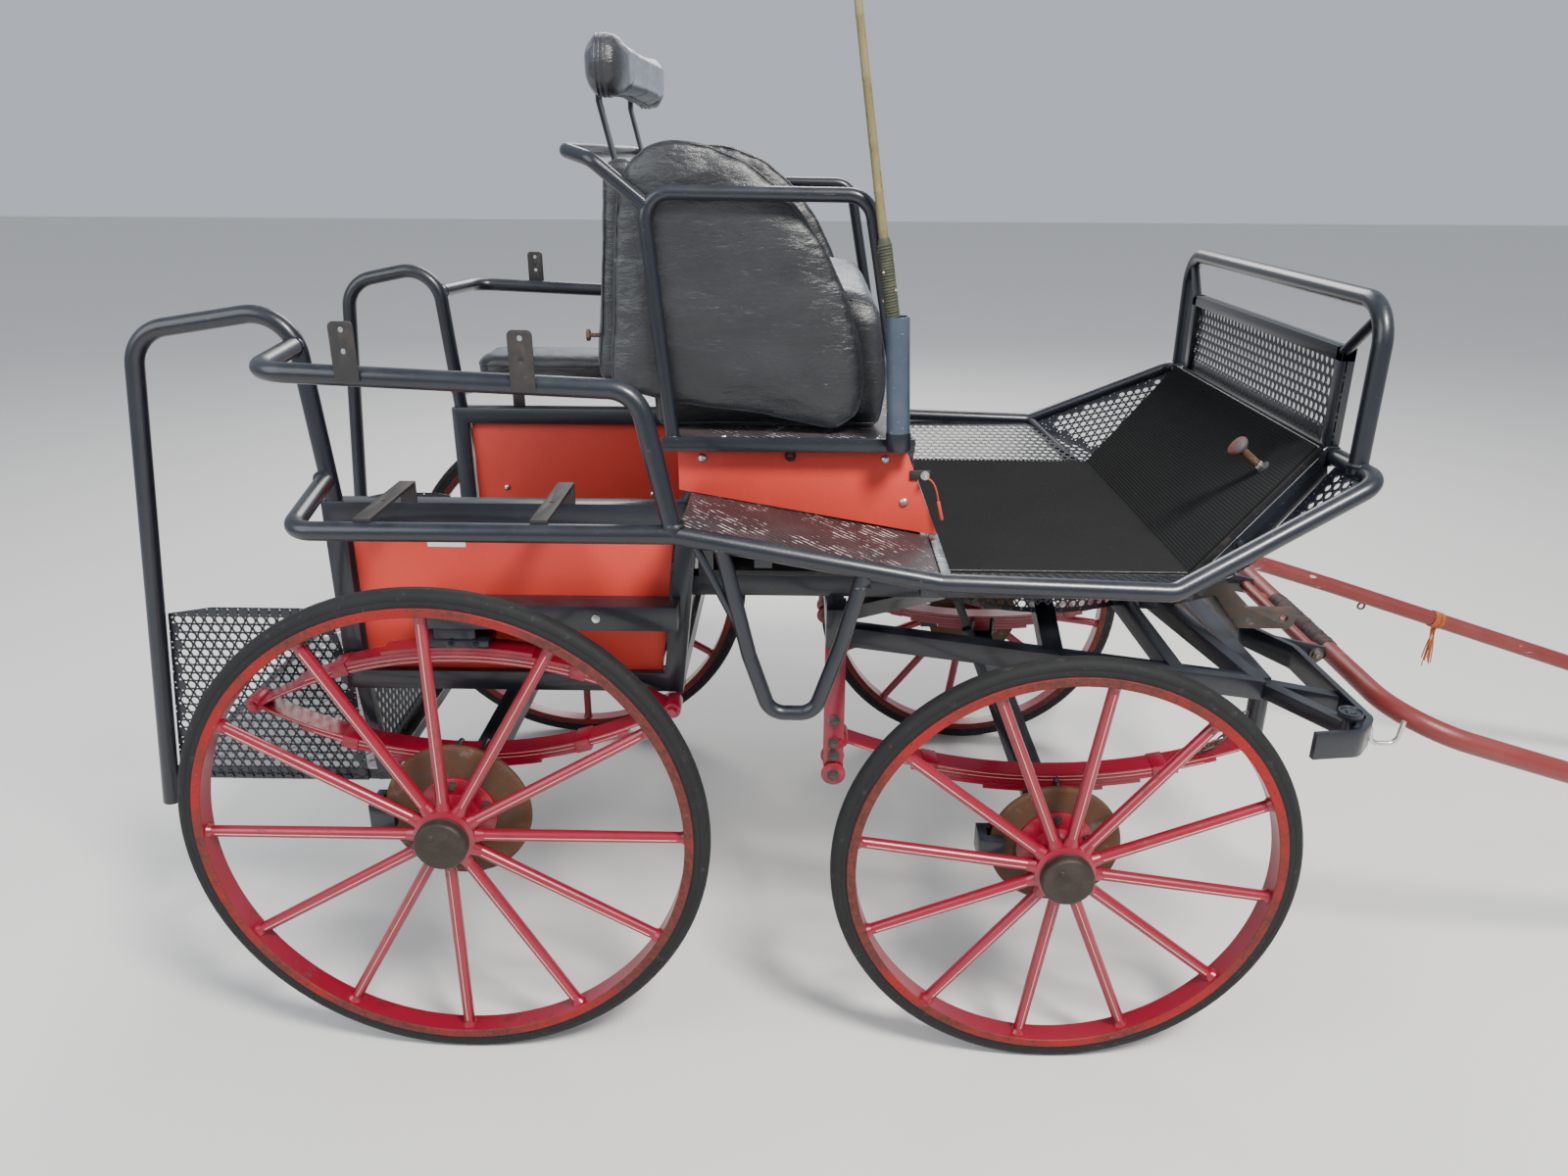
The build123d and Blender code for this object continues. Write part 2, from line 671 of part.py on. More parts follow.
# Side rails, from the handles round to the nose, and the upper rails above the rear wheels
with BuildPart() as side_rails:
    for side, hand in SIDES:
        lower = (
            spot(BODY_REAR + 12, side * HANDLE_Y, RAIL_Z + 24),
            spot(BODY_REAR + 43, side * RAIL_Y, RAIL_Z),
            spot(UPPER_RAIL_FOOT, side * RAIL_Y, RAIL_Z),
            spot(RAIL_KNEE_X, side * RAIL_Y, RAIL_KNEE_Z),
            spot(RAIL_BEND_X, side * RAIL_Y, RAIL_BEND_Z),
            spot(NOSE_X, side * NOSE_Y, NOSE_Z),
            spot(HEAD_BAR_X + RAIL_D / 2 + 1.5, side * (FLOOR_HALF_WIDTH - 10), HEAD_BAR_Z + HEAD_BAR_HEIGHT / 2),
        )
        add_tube(lower, RAIL_D, RAIL_BEND)
    cut_away(handles)
write(side_rails, "side_rails")

with BuildPart() as upper_rails:
    for side, hand in SIDES:
        upper = (
            spot(BODY_REAR - 8, side * HANDLE_Y, UPPER_RAIL_Z + 4),
            spot(BODY_REAR + 20, side * UPPER_RAIL_Y, UPPER_RAIL_Z),
            spot(UPPER_RAIL_HEAD_X, side * UPPER_RAIL_Y, UPPER_RAIL_Z - UPPER_RAIL_DROP),
            spot(UPPER_RAIL_FOOT, side * RAIL_Y, RAIL_Z),
        )
        add_tube(upper, RAIL_D, UPPER_RAIL_BEND)
    cut_away(handles, side_rails)
write(upper_rails, "upper_rails")

with BuildPart() as rail_plates:
    run = UPPER_RAIL_HEAD_X - BODY_REAR
    plate_y = UPPER_RAIL_Y + RAIL_D / 2
    for side, hand in SIDES:
        for plate_x in RAIL_PLATE_X:
            centre_z = UPPER_RAIL_Z - UPPER_RAIL_DROP * (plate_x - BODY_REAR) / run
            low = centre_z - RAIL_D / 2 + RAIL_PLATE_LIFT
            x_span = (plate_x - RAIL_PLATE / 2, plate_x + RAIL_PLATE / 2)
            add_box(x_span, pair(side, plate_y, plate_y + SHEET), (low, low + RAIL_PLATE_HEIGHT))
            for hole in (0, 1):
                hole_z = low + RAIL_PLATE_HEIGHT - 13 - hole * RAIL_HOLE_PITCH
                hole_y = side * (plate_y + SHEET / 2) - SHEET
                add_disc(plate_x, hole_y, hole_z, RAIL_HOLE_D, 2 * SHEET, Mode.SUBTRACT)
write(rail_plates, "rail_plates")

with BuildPart() as step_loops:
    for side, hand in SIDES:
        loop = (
            spot(527, side * RAIL_Y, RAIL_Z - 14),
            spot(575, side * RAIL_Y, 880),
            spot(612, side * RAIL_Y, STEP_LOOP_Z),
            spot(690, side * RAIL_Y, STEP_LOOP_Z),
            spot(735, side * RAIL_Y, 900),
            spot(773, side * RAIL_Y, RAIL_KNEE_Z + 20),
        )
        add_tube(loop, STEP_LOOP_D, STEP_LOOP_BEND)
        add_tube((spot(478, side * RAIL_Y, RAIL_Z - 5), spot(560, side * RAIL_Y, 925)), STEP_STAY_D)
    cut_away(side_rails)
write(step_loops, "step_loops")

# Driver's floor: two layers that run level and then up the slanted footboard
LEVEL = Vector(0, 1)
SLANT = Vector(-math.sin(FOOT_ANGLE), math.cos(FOOT_ANGLE))
KNEE = Vector(FOOTBOARD_FOOT, FLOOR_TOP)


def knee(depth):
    """The knee of a layer that lies depth above the boards' top, as (x, z)."""
    point = KNEE + (LEVEL + SLANT) * (depth / (1 + LEVEL.dot(SLANT)))
    return (point.X, point.Y)


def up_board(run, depth):
    """A place on the slanted board, run up from the knee and depth above it, as (x, z)."""
    point = KNEE + Vector(math.cos(FOOT_ANGLE), math.sin(FOOT_ANGLE)) * run + SLANT * depth
    return (point.X, point.Y)


def layer(rear_x, low, high, head):
    """The outline of a layer between two depths, from rear_x to the head of the board."""
    return (
        (rear_x, FLOOR_TOP + low),
        knee(low),
        up_board(head, low),
        up_board(head, high),
        knee(high),
        (rear_x, FLOOR_TOP + high),
    )


PEDAL_RUN = FOOT_SLOPE - PEDAL_DOWN
PEDAL_Y = -330
PEDAL_D = 16
PEDAL_SLOT = 26
pedal_plane = Plane(origin=spot(up_board(PEDAL_RUN, 0)[0], PEDAL_Y, up_board(PEDAL_RUN, 0)[1]),
                    x_dir=(0, 1, 0), z_dir=(SLANT.X, 0, SLANT.Y))

with BuildPart() as footboard:
    add_plate(layer(BODY_FRONT + 62, -FLOOR_THICK, 0, FOOT_SLOPE), -FLOOR_HALF_WIDTH, 2 * FLOOR_HALF_WIDTH)
    with BuildSketch(pedal_plane):
        Rectangle(PEDAL_SLOT, 2 * PEDAL_SLOT)
    extrude(amount=2 * FLOOR_THICK, both=True, mode=Mode.SUBTRACT)
write(footboard, "footboard")

with BuildPart() as floor_mat:
    mat_y = FLOOR_HALF_WIDTH - 4
    add_plate(layer(MAT_REAR, 0, MAT, FOOT_SLOPE - 3), -mat_y, 2 * mat_y)
    with BuildSketch(pedal_plane):
        Rectangle(PEDAL_SLOT, 2 * PEDAL_SLOT)
    extrude(amount=2 * FLOOR_THICK, both=True, mode=Mode.SUBTRACT)
write(floor_mat, "floor_mat")

BOARD_LIFT = 4


def board_z(x):
    """The running board's top, which follows the rail beside it."""
    return RAIL_Z + BOARD_LIFT - RAIL_SLOPE * (x - UPPER_RAIL_FOOT)


with BuildPart() as floor_frame:
    bar_z = (FLOOR_BAR_Z, FLOOR_BAR_Z + FRAME_BAR)
    middle = -FLOOR_THICK - FRAME_BAR / 2
    for side, hand in SIDES:
        inner = FLOOR_HALF_WIDTH - FRAME_BAR
        y_span = pair(side, inner, FLOOR_HALF_WIDTH)
        add_box((BODY_FRONT, knee(middle)[0]), y_span, bar_z)
        foot_x, foot_z = knee(middle)
        head_x, head_z = up_board(FOOT_SLOPE - FRAME_BAR, middle)
        add_bar(spot(foot_x, side * FLOOR_BAR_Y, foot_z), spot(head_x, side * FLOOR_BAR_Y, head_z),
                FRAME_BAR, FRAME_BAR)
        cheek = (knee(middle), up_board(FOOT_SLOPE - FRAME_BAR, middle),
                 up_board(FOOT_SLOPE - FRAME_BAR, -FOOT_CHEEK), up_board(FRAME_BAR, -FOOT_CHEEK))
        add_plate(cheek, side * (FLOOR_HALF_WIDTH - SHEET / 2) - SHEET / 2, SHEET)
    for cross_x in (*FLOOR_CROSS_X, WHEELBASE):
        add_box((cross_x - FRAME_BAR / 2, cross_x + FRAME_BAR / 2), (-FLOOR_BAR_Y, FLOOR_BAR_Y), bar_z)
    cut_away(rear_frame, footboard)
write(floor_frame, "floor_frame")

with BuildPart() as head_bar:
    head_z = (HEAD_BAR_Z, HEAD_BAR_Z + HEAD_BAR_HEIGHT)
    head_y = (-FLOOR_HALF_WIDTH, FLOOR_HALF_WIDTH)
    add_box((HEAD_BAR_X, HEAD_BAR_X + HEAD_BAR_DEPTH), head_y, head_z)
    cut_away(floor_frame, footboard, side_rails)
write(head_bar, "head_bar")

with BuildPart() as seat_legs:
    for side, hand in SIDES:
        leg_y = pair(side, FLOOR_HALF_WIDTH - SEAT_RAIL, FLOOR_HALF_WIDTH)
        for leg_x in SEAT_LEG_X:
            add_box((leg_x - SEAT_LEG / 2, leg_x + SEAT_LEG / 2), leg_y, (FLOOR_TOP - FLOOR_THICK, SEAT_Z - SEAT_PLATE))
        rail_z = (SEAT_Z - SEAT_PLATE - SEAT_RAIL, SEAT_Z - SEAT_PLATE)
        add_box((BODY_FRONT + 20, SEAT_FRONT_X - SHEET), leg_y, rail_z)
    cut_away(rear_frame, footboard)
write(seat_legs, "seat_legs")

with BuildPart() as outriggers:
    for side, hand in SIDES:
        for rigger_x in OUTRIGGER_X:
            rigger_z = board_z(rigger_x + OUTRIGGER / 2) - FLOOR_THICK - OUTRIGGER_DEPTH / 2
            inner = spot(rigger_x, side * FLOOR_BAR_Y, rigger_z)
            add_bar(inner, spot(rigger_x, side * RAIL_Y, rigger_z), OUTRIGGER, OUTRIGGER_DEPTH)
        knee_foot = spot(FOOTBOARD_FOOT - 6, side * (FLOOR_HALF_WIDTH - 8), FLOOR_TOP - FLOOR_THICK - 9)
        add_tube((knee_foot, spot(RAIL_BEND_X, side * RAIL_Y, RAIL_BEND_Z)), NOSE_STAY_D)
    cut_away(side_rails, floor_frame, footboard, seat_legs)
write(outriggers, "outriggers")

with BuildPart() as running_boards:
    board_rear = UPPER_RAIL_FOOT + 6
    board_front = 922
    tread = (
        (board_rear, board_z(board_rear) - FLOOR_THICK),
        (board_front, board_z(board_front) - FLOOR_THICK),
        (board_front, board_z(board_front)),
        (board_rear, board_z(board_rear)),
    )
    board_in = CHEEK_OUTER
    board_out = RAIL_Y - RAIL_D / 2 + 4
    for side, hand in SIDES:
        add_plate(tread, min(pair(side, board_in, board_out)), board_out - board_in)
    cut_away(side_rails, rear_frame)
write(running_boards, "running_boards")

with BuildPart() as wings:
    wing_in = FLOOR_HALF_WIDTH + SHEET + 1
    wing_out = RAIL_Y - RAIL_D / 2 + 5
    rise = RAIL_BEND_Z - 4
    for side, hand in SIDES:
        level = (
            spot(MAT_REAR, side * wing_in, FLOOR_TOP),
            spot(FOOTBOARD_FOOT, side * wing_in, FLOOR_TOP),
            spot(RAIL_BEND_X + 8, side * wing_out, rise),
            spot(MAT_REAR, side * wing_out, rise),
        )
        add_sheet(level, side * SHEET)
        slant = (
            spot(FOOTBOARD_FOOT, side * wing_in, FLOOR_TOP),
            spot(WING_HEAD_X, side * wing_in, WING_HEAD_Z),
            spot(RAIL_BEND_X + 8, side * wing_out, rise),
        )
        add_sheet(slant, side * SHEET)
        slant = (
            spot(WING_HEAD_X, side * wing_in, WING_HEAD_Z),
            spot(NOSE_X - 40, side * (NOSE_Y + 5), NOSE_Z - 18),
            spot(RAIL_BEND_X + 8, side * wing_out, rise),
        )
        add_sheet(slant, side * SHEET)
    cut_away(side_rails, floor_frame, outriggers)
write(wings, "wings")

# Dash hoop and the perforated screen behind it
HEAD_BAR_TOP = HEAD_BAR_Z + HEAD_BAR_HEIGHT
with BuildPart() as dash_screen:
    screen_x = HEAD_BAR_X + HEAD_BAR_DEPTH
    half = DASH_SCREEN_HALF_WIDTH
    add_box((screen_x - 15, screen_x - 15 + SHEET), (-half, half), (HEAD_BAR_TOP, DASH_SCREEN_TOP))
    for side, hand in SIDES:
        y_span = pair(side, half - DASH_EDGE, half)
        add_box((screen_x - 25, screen_x), y_span, (HEAD_BAR_TOP, DASH_SCREEN_TOP))
    add_box((screen_x - 25, screen_x), (-half, half), (DASH_SCREEN_TOP - DASH_EDGE, DASH_SCREEN_TOP))
    cut_away(side_rails)
write(dash_screen, "dash_screen")

with BuildPart() as dash_hoop:
    foot_z = NOSE_Z - 2
    hoop = (
        spot(DASH_X, -DASH_HALF_WIDTH, foot_z),
        spot(DASH_X, -DASH_HALF_WIDTH, DASH_TOP),
        spot(DASH_X, DASH_HALF_WIDTH, DASH_TOP),
        spot(DASH_X, DASH_HALF_WIDTH, foot_z),
    )
    add_tube(hoop, RAIL_D, DASH_BEND)
    for side, hand in SIDES:
        stay_low = spot(DASH_X - 10, side * (DASH_SCREEN_HALF_WIDTH - 10), DASH_SCREEN_TOP - 8)
        stay_high = spot(DASH_X, side * (DASH_HALF_WIDTH - 22), DASH_TOP - 22)
        add_tube((stay_low, stay_high), 20)
    cut_away(side_rails, dash_screen)
write(dash_hoop, "dash_hoop")

# Driver's seat
CHEEK_TOP = SEAT_Z - SEAT_PLATE - CHEEK_TOP_GAP
with BuildPart() as seat_cheeks:
    rear_x = 433
    front_top = SEAT_FRONT_X - 8
    front_low = 924
    cheek = (
        (rear_x, CHEEK_TOP),
        (front_top, CHEEK_TOP),
        (front_low, board_z(front_low) + 4),
        (UPPER_RAIL_FOOT + 6, board_z(UPPER_RAIL_FOOT + 6) + 1),
        (rear_x, board_z(rear_x) + 1),
    )
    for side, hand in SIDES:
        add_plate(cheek, min(pair(side, FLOOR_HALF_WIDTH, CHEEK_OUTER)), SHEET)
write(seat_cheeks, "seat_cheeks")

with BuildPart() as seat_riser:
    riser = (
        (SEAT_FRONT_X - 3, SEAT_Z - SEAT_PLATE),
        (899, FLOOR_TOP),
        (902, FLOOR_TOP),
        (SEAT_FRONT_X, SEAT_Z - SEAT_PLATE),
    )
    add_plate(riser, -FLOOR_HALF_WIDTH, 2 * FLOOR_HALF_WIDTH)
    cut_away(floor_frame, seat_legs, outriggers)
write(seat_riser, "seat_riser")

with BuildPart() as seat_plate:
    plate_y = (-SEAT_HALF_WIDTH, SEAT_HALF_WIDTH)
    add_box((SEAT_REAR_X, SEAT_FRONT_X), plate_y, (SEAT_Z - SEAT_PLATE, SEAT_Z))
write(seat_plate, "seat_plate")

seat_top = SEAT_Z + SOFT_GAP
with BuildPart() as seat_sides:
    side_pad = (
        # x, z round the pad from its rear foot
        (300, 1292), (322, 1600), (340, 1675), (375, 1722), (425, 1737), (500, 1728), (575, 1693),
        (645, 1638), (705, 1560), (752, 1465), (783, 1370), (790, 1300), (778, 1245), (735, seat_top),
        (700, 1220), (560, 1246), (420, 1262),
    )
    for side, hand in SIDES:
        inner = SEAT_INNER + SOFT_GAP
        add_plate(side_pad, min(pair(side, inner, inner + SEAT_SIDE)), SEAT_SIDE)
write(seat_sides, "seat_sides")

BACK_FOOT = (278, 1290)
BACK_HEAD = (309, 1700)
BACK_DEPTH = 80
with BuildPart() as seat_cushion:
    cushion_rear = BACK_FOOT[0] + BACK_DEPTH + 14
    wedge = (
        (cushion_rear, seat_top),
        (822, seat_top),
        (826, 1320),
        (816, 1432),
        (790, 1450),
        (cushion_rear + 16, 1530),
    )
    add_plate(wedge, -SEAT_INNER, 2 * SEAT_INNER)
write(seat_cushion, "seat_cushion")

with BuildPart() as seat_back:
    back = (
        BACK_FOOT,
        (BACK_FOOT[0] + BACK_DEPTH, BACK_FOOT[1]),
        (BACK_HEAD[0] + BACK_DEPTH - 15, BACK_HEAD[1] - 12),
        (BACK_HEAD[0] + 40, BACK_HEAD[1] + 10),
        BACK_HEAD,
    )
    add_plate(back, -SEAT_INNER, 2 * SEAT_INNER)
write(seat_back, "seat_back")

with BuildPart() as arm_rail:
    for side, hand in SIDES:
        arm = (
            spot(427, side * ARM_Y, SEAT_Z - 5),
            spot(385, side * ARM_Y, ARM_TOP),
            spot(775, side * ARM_Y, ARM_TOP - 4),
            spot(852, side * ARM_Y, SEAT_Z - 5),
        )
        add_tube(arm, ARM_D, 45)
    rear_bar = (
        spot(392, -ARM_Y, ARM_TOP - 22),
        spot(302, -ARM_Y + 4, REAR_BAR_Z - 14),
        spot(REAR_BAR_X, -REAR_BAR_HALF_WIDTH, REAR_BAR_Z),
        spot(REAR_BAR_X, REAR_BAR_HALF_WIDTH, REAR_BAR_Z),
        spot(302, ARM_Y - 4, REAR_BAR_Z - 14),
        spot(392, ARM_Y, ARM_TOP - 22),
    )
    add_tube(rear_bar, ARM_D, 30)
    cut_away(seat_plate)
write(arm_rail, "arm_rail")

with BuildPart() as back_bars:
    lean = (BACK_HEAD[0] - BACK_FOOT[0]) / (BACK_HEAD[1] - BACK_FOOT[1])

    def behind_back(z):
        """The face of the flat bars that lies against the seat back."""
        return BACK_FOOT[0] + lean * (z - BACK_FOOT[1]) - SOFT_GAP

    top_face = PAD_REAR - SOFT_GAP
    outline = (
        (behind_back(1370) - BACK_BAR_THICK, 1370),
        (behind_back(1370), 1370),
        (behind_back(1690), 1690),
        (top_face, PAD_BOTTOM),
        (top_face, PAD_TOP - 30),
        (top_face - BACK_BAR_THICK, PAD_TOP - 30),
        (top_face - BACK_BAR_THICK, PAD_BOTTOM),
        (behind_back(1690) - BACK_BAR_THICK, 1690),
    )
    for side, hand in SIDES:
        add_plate(outline, side * BACK_BAR_Y - BACK_BAR / 2, BACK_BAR)
write(back_bars, "back_bars")

with BuildPart() as back_pad:
    with BuildSketch(Plane(origin=spot(PAD_REAR, 0, (PAD_BOTTOM + PAD_TOP) / 2), x_dir=(0, 1, 0), z_dir=(1, 0, 0))):
        RectangleRounded(2 * PAD_HALF_WIDTH, PAD_TOP - PAD_BOTTOM, 30)
    extrude(amount=PAD_THICK)
write(back_pad, "back_pad")

# Whip in its socket beside the seat
socket_lean = math.radians(SOCKET_LEAN)
socket_up = Vector(-math.sin(socket_lean), 0, math.cos(socket_lean))
socket_foot = spot(SOCKET_X, -SOCKET_Y, SEAT_Z - SEAT_PLATE)
SOCKET_DEPTH = SOCKET_TOP - SEAT_Z + SEAT_PLATE
with BuildPart() as whip_socket:
    with BuildSketch(Plane(origin=socket_foot, x_dir=(0, 1, 0), z_dir=socket_up)):
        Circle(SOCKET_D / 2)
    extrude(amount=SOCKET_DEPTH)
    bore_floor = socket_foot + socket_up * (SOCKET_DEPTH - WHIP_GRIP)
    with BuildSketch(Plane(origin=bore_floor, x_dir=(0, 1, 0), z_dir=socket_up)):
        Circle(SOCKET_BORE / 2)
    extrude(amount=WHIP_GRIP + 1, mode=Mode.SUBTRACT)
    cut_away(seat_plate, arm_rail)
write(whip_socket, "whip_socket")

with BuildPart() as whip:
    whip_lean = math.radians(WHIP_LEAN)
    whip_up = Vector(-math.sin(whip_lean), 0, math.cos(whip_lean))
    play = math.tan(whip_lean - socket_lean) * WHIP_GRIP / 2
    butt = bore_floor + socket_up * 1.5 + Vector(play, 0, 0)
    with BuildSketch(Plane(origin=butt, x_dir=(0, 1, 0), z_dir=whip_up)):
        Circle(WHIP_D / 2)
    extrude(amount=WHIP_LENGTH, taper=0.2)
write(whip, "whip")

# Side cushion on the left, and bare brackets on the right
RAIL_TOP = RAIL_Z + RAIL_D / 2
with BuildPart() as cushion_brackets:
    for side, hand in SIDES:
        for bracket_x in BRACKET_X:
            x_span = (bracket_x - BRACKET_WIDTH / 2, bracket_x + BRACKET_WIDTH / 2)
            leg_out = BODY_HALF_WIDTH
            add_box(x_span, pair(side, leg_out - BRACKET_THICK, leg_out), (BODY_TOP, RAIL_TOP + BRACKET_THICK))
            add_box(x_span, pair(side, leg_out - BRACKET_THICK, RAIL_Y), (RAIL_TOP, RAIL_TOP + BRACKET_THICK))
            with BuildSketch(Plane(origin=spot(bracket_x, side * BRACKET_HOLE_Y, RAIL_TOP))):
                Circle(BRACKET_HOLE_D / 2)
            extrude(amount=BRACKET_THICK, mode=Mode.SUBTRACT)
write(cushion_brackets, "cushion_brackets")

with BuildPart() as rear_cushion:
    low = RAIL_TOP + BRACKET_THICK + SOFT_GAP
    with BuildSketch(Plane.XY.offset(low)):
        with Locations(spot((CUSHION_REAR + CUSHION_FRONT) / 2, (CUSHION_INNER + CUSHION_OUTER) / 2, 0)):
            RectangleRounded(CUSHION_FRONT - CUSHION_REAR, CUSHION_OUTER - CUSHION_INNER, CUSHION_CORNER)
    extrude(amount=CUSHION_THICK)
write(rear_cushion, "rear_cushion")

# Controls
with BuildPart() as brake_pedal:
    low = FLOOR_THICK + PEDAL_BELOW
    with BuildSketch(pedal_plane.offset(-low)):
        Circle(PEDAL_D / 2)
    extrude(amount=low + PEDAL_REACH)
    with BuildSketch(pedal_plane.offset(PEDAL_REACH)):
        Circle(PEDAL_HEAD_D / 2)
    extrude(amount=PEDAL_HEAD)
    arm_foot = up_board(PEDAL_RUN - 10, -low)
    arm_head = up_board(FOOT_SLOPE - 8, -low)
    add_bar(spot(arm_foot[0], PEDAL_Y, arm_foot[1]), spot(arm_head[0], PEDAL_Y, arm_head[1]), 30, 10)
    cut_away(floor_frame, head_bar)
write(brake_pedal, "brake_pedal")

with BuildPart() as brake_lever:
    lever_y = -CHEEK_OUTER - 10
    add_disc(LEVER_X, lever_y, LEVER_Z, LEVER_JOINT_D, 10)
    lever_tip = spot(LEVER_X + LEVER_RUN, lever_y + 4, LEVER_Z - LEVER_FALL)
    add_bar(spot(LEVER_X, lever_y + 4, LEVER_Z), lever_tip, LEVER_THICK, LEVER_WIDTH)
write(brake_lever, "brake_lever")

# Turntable
with BuildPart() as turntable_ring:
    ring_plane = Plane(origin=spot(WHEELBASE, 0, RING_Z))
    with BuildSketch(ring_plane):
        Circle((RING_D + RING_WIDTH) / 2)
        Circle((RING_D - RING_WIDTH) / 2, mode=Mode.SUBTRACT)
        Rectangle(RING_D, RING_WIDTH)
        Circle(KING_BOSS_D / 2)
        Circle(KING_PIN_D / 2 + RUNNING_GAP, mode=Mode.SUBTRACT)
    extrude(amount=FLOOR_BAR_Z - RING_Z)
write(turntable_ring, "turntable_ring")

LOW_BAR = (RING_LOW - FRAME_BAR, RING_LOW)
LOW_BAR_Z = RING_LOW - FRAME_BAR / 2


def side_bar_z(x):
    """The middle of the fore-carriage's side bars, which fall towards the nose."""
    return FORE_TAIL_Z + (FORE_NOSE_Z - FORE_TAIL_Z) * (x - FORE_TAIL_X) / (FORE_NOSE_X - FORE_TAIL_X)


with BuildPart() as fore_frame:
    with BuildSketch(Plane(origin=spot(WHEELBASE, 0, RING_LOW))):
        Circle((RING_D + RING_WIDTH) / 2)
        Circle((RING_D - RING_WIDTH) / 2, mode=Mode.SUBTRACT)
    extrude(amount=RING_THICK)
    half = FRAME_BAR / 2
    add_box((WHEELBASE - half, WHEELBASE + half), (-RING_D / 2, RING_D / 2), LOW_BAR)
    add_box((WHEELBASE - RING_D / 2, FORE_CROSS_X), (-half, half), LOW_BAR)
    add_box((FORE_CROSS_X - half, FORE_CROSS_X + half), (-POLE_LUG_Y, POLE_LUG_Y), LOW_BAR)
    with BuildSketch(Plane(origin=spot(WHEELBASE, 0, RING_LOW - half))):
        Circle(KING_PIN_D / 2)
    extrude(amount=FLOOR_BAR_Z - 2 - RING_LOW + half)
    for side, hand in SIDES:
        outer = side * FORE_HALF_WIDTH
        nose = spot(FORE_NOSE_X, outer, FORE_NOSE_Z)
        tail = spot(FORE_TAIL_X, outer, FORE_TAIL_Z)
        add_bar(tail, nose, FRAME_BAR, FRAME_BAR)
        add_bar(spot(WHEELBASE, side * RING_D / 2, LOW_BAR_Z), spot(WHEELBASE, outer, side_bar_z(WHEELBASE)), 40, 34)
        add_bar(spot(STRUT_X, side * 250, LOW_BAR_Z), spot(STRUT_X + 80, outer, side_bar_z(STRUT_X + 80)), 30, 34)
        add_bar(spot(FORE_CROSS_X, side * 205, LOW_BAR_Z), nose, 30, 34)
        eye_x = WHEELBASE + FRONT_SPRING_SPAN / 2
        add_tube((spot(eye_x, outer, FORE_NOSE_Z), spot(eye_x, outer, FRONT_EYE_Z + 5)), 38)
        tail_y = pair(side, FORE_HALF_WIDTH - 33, FORE_HALF_WIDTH + 33)
        add_box((FORE_TAIL_X - half, FORE_TAIL_X + half), tail_y, (FORE_TAIL_Z - half, FORE_TAIL_Z + 60))
        upper_foot = spot(FORE_TAIL_X, outer, FORE_TAIL_Z + 40)
        add_bar(upper_foot, spot(FORE_TAIL_X + 260, side * 190, LOW_BAR_Z), 30, 30)
    cross_y = (-FORE_HALF_WIDTH, FORE_HALF_WIDTH)
    add_box((FORE_TAIL_X - half, FORE_TAIL_X + half), cross_y, (FORE_TAIL_Z - half, FORE_TAIL_Z + half))
    add_box((FORE_NOSE_X - half, FORE_NOSE_X + half), cross_y, (FORE_NOSE_Z - half, FORE_NOSE_Z + half))
    add_bar(spot(FORE_TAIL_X, 0, FORE_TAIL_Z), spot(WHEELBASE - RING_D / 2 + 20, 0, LOW_BAR_Z), 40, 34)
    cut_away(front_springs, front_axle)
write(fore_frame, "fore_frame")

with BuildPart() as ring_skirt:
    skirt_r = (RING_D + RING_WIDTH) / 2
    with BuildSketch(Plane(origin=spot(WHEELBASE, 0, RING_LOW - 30))):
        Circle(skirt_r + SHEET)
        Circle(skirt_r, mode=Mode.SUBTRACT)
    extrude(amount=30 + RING_THICK)
    cut_away(fore_frame)
write(ring_skirt, "ring_skirt")

with BuildPart() as spring_hangers:
    for side, hand in SIDES:
        half = SPRING_WIDTH / 2 + SOFT_GAP
        for face in (-half - HANGER_THICK, half):
            low_y = side * FRONT_SPRING_Y + face
            x_span = (FORE_TAIL_X - 20, FORE_TAIL_X + 20)
            add_box(x_span, (low_y, low_y + HANGER_THICK), (HANGER_BOTTOM, FORE_TAIL_Z - FRAME_BAR / 2))
        pin_y = side * FRONT_SPRING_Y - half - HANGER_THICK
        add_disc(FORE_TAIL_X, pin_y, HANGER_BOTTOM + 15, 30, 2 * (half + HANGER_THICK))
write(spring_hangers, "spring_hangers")

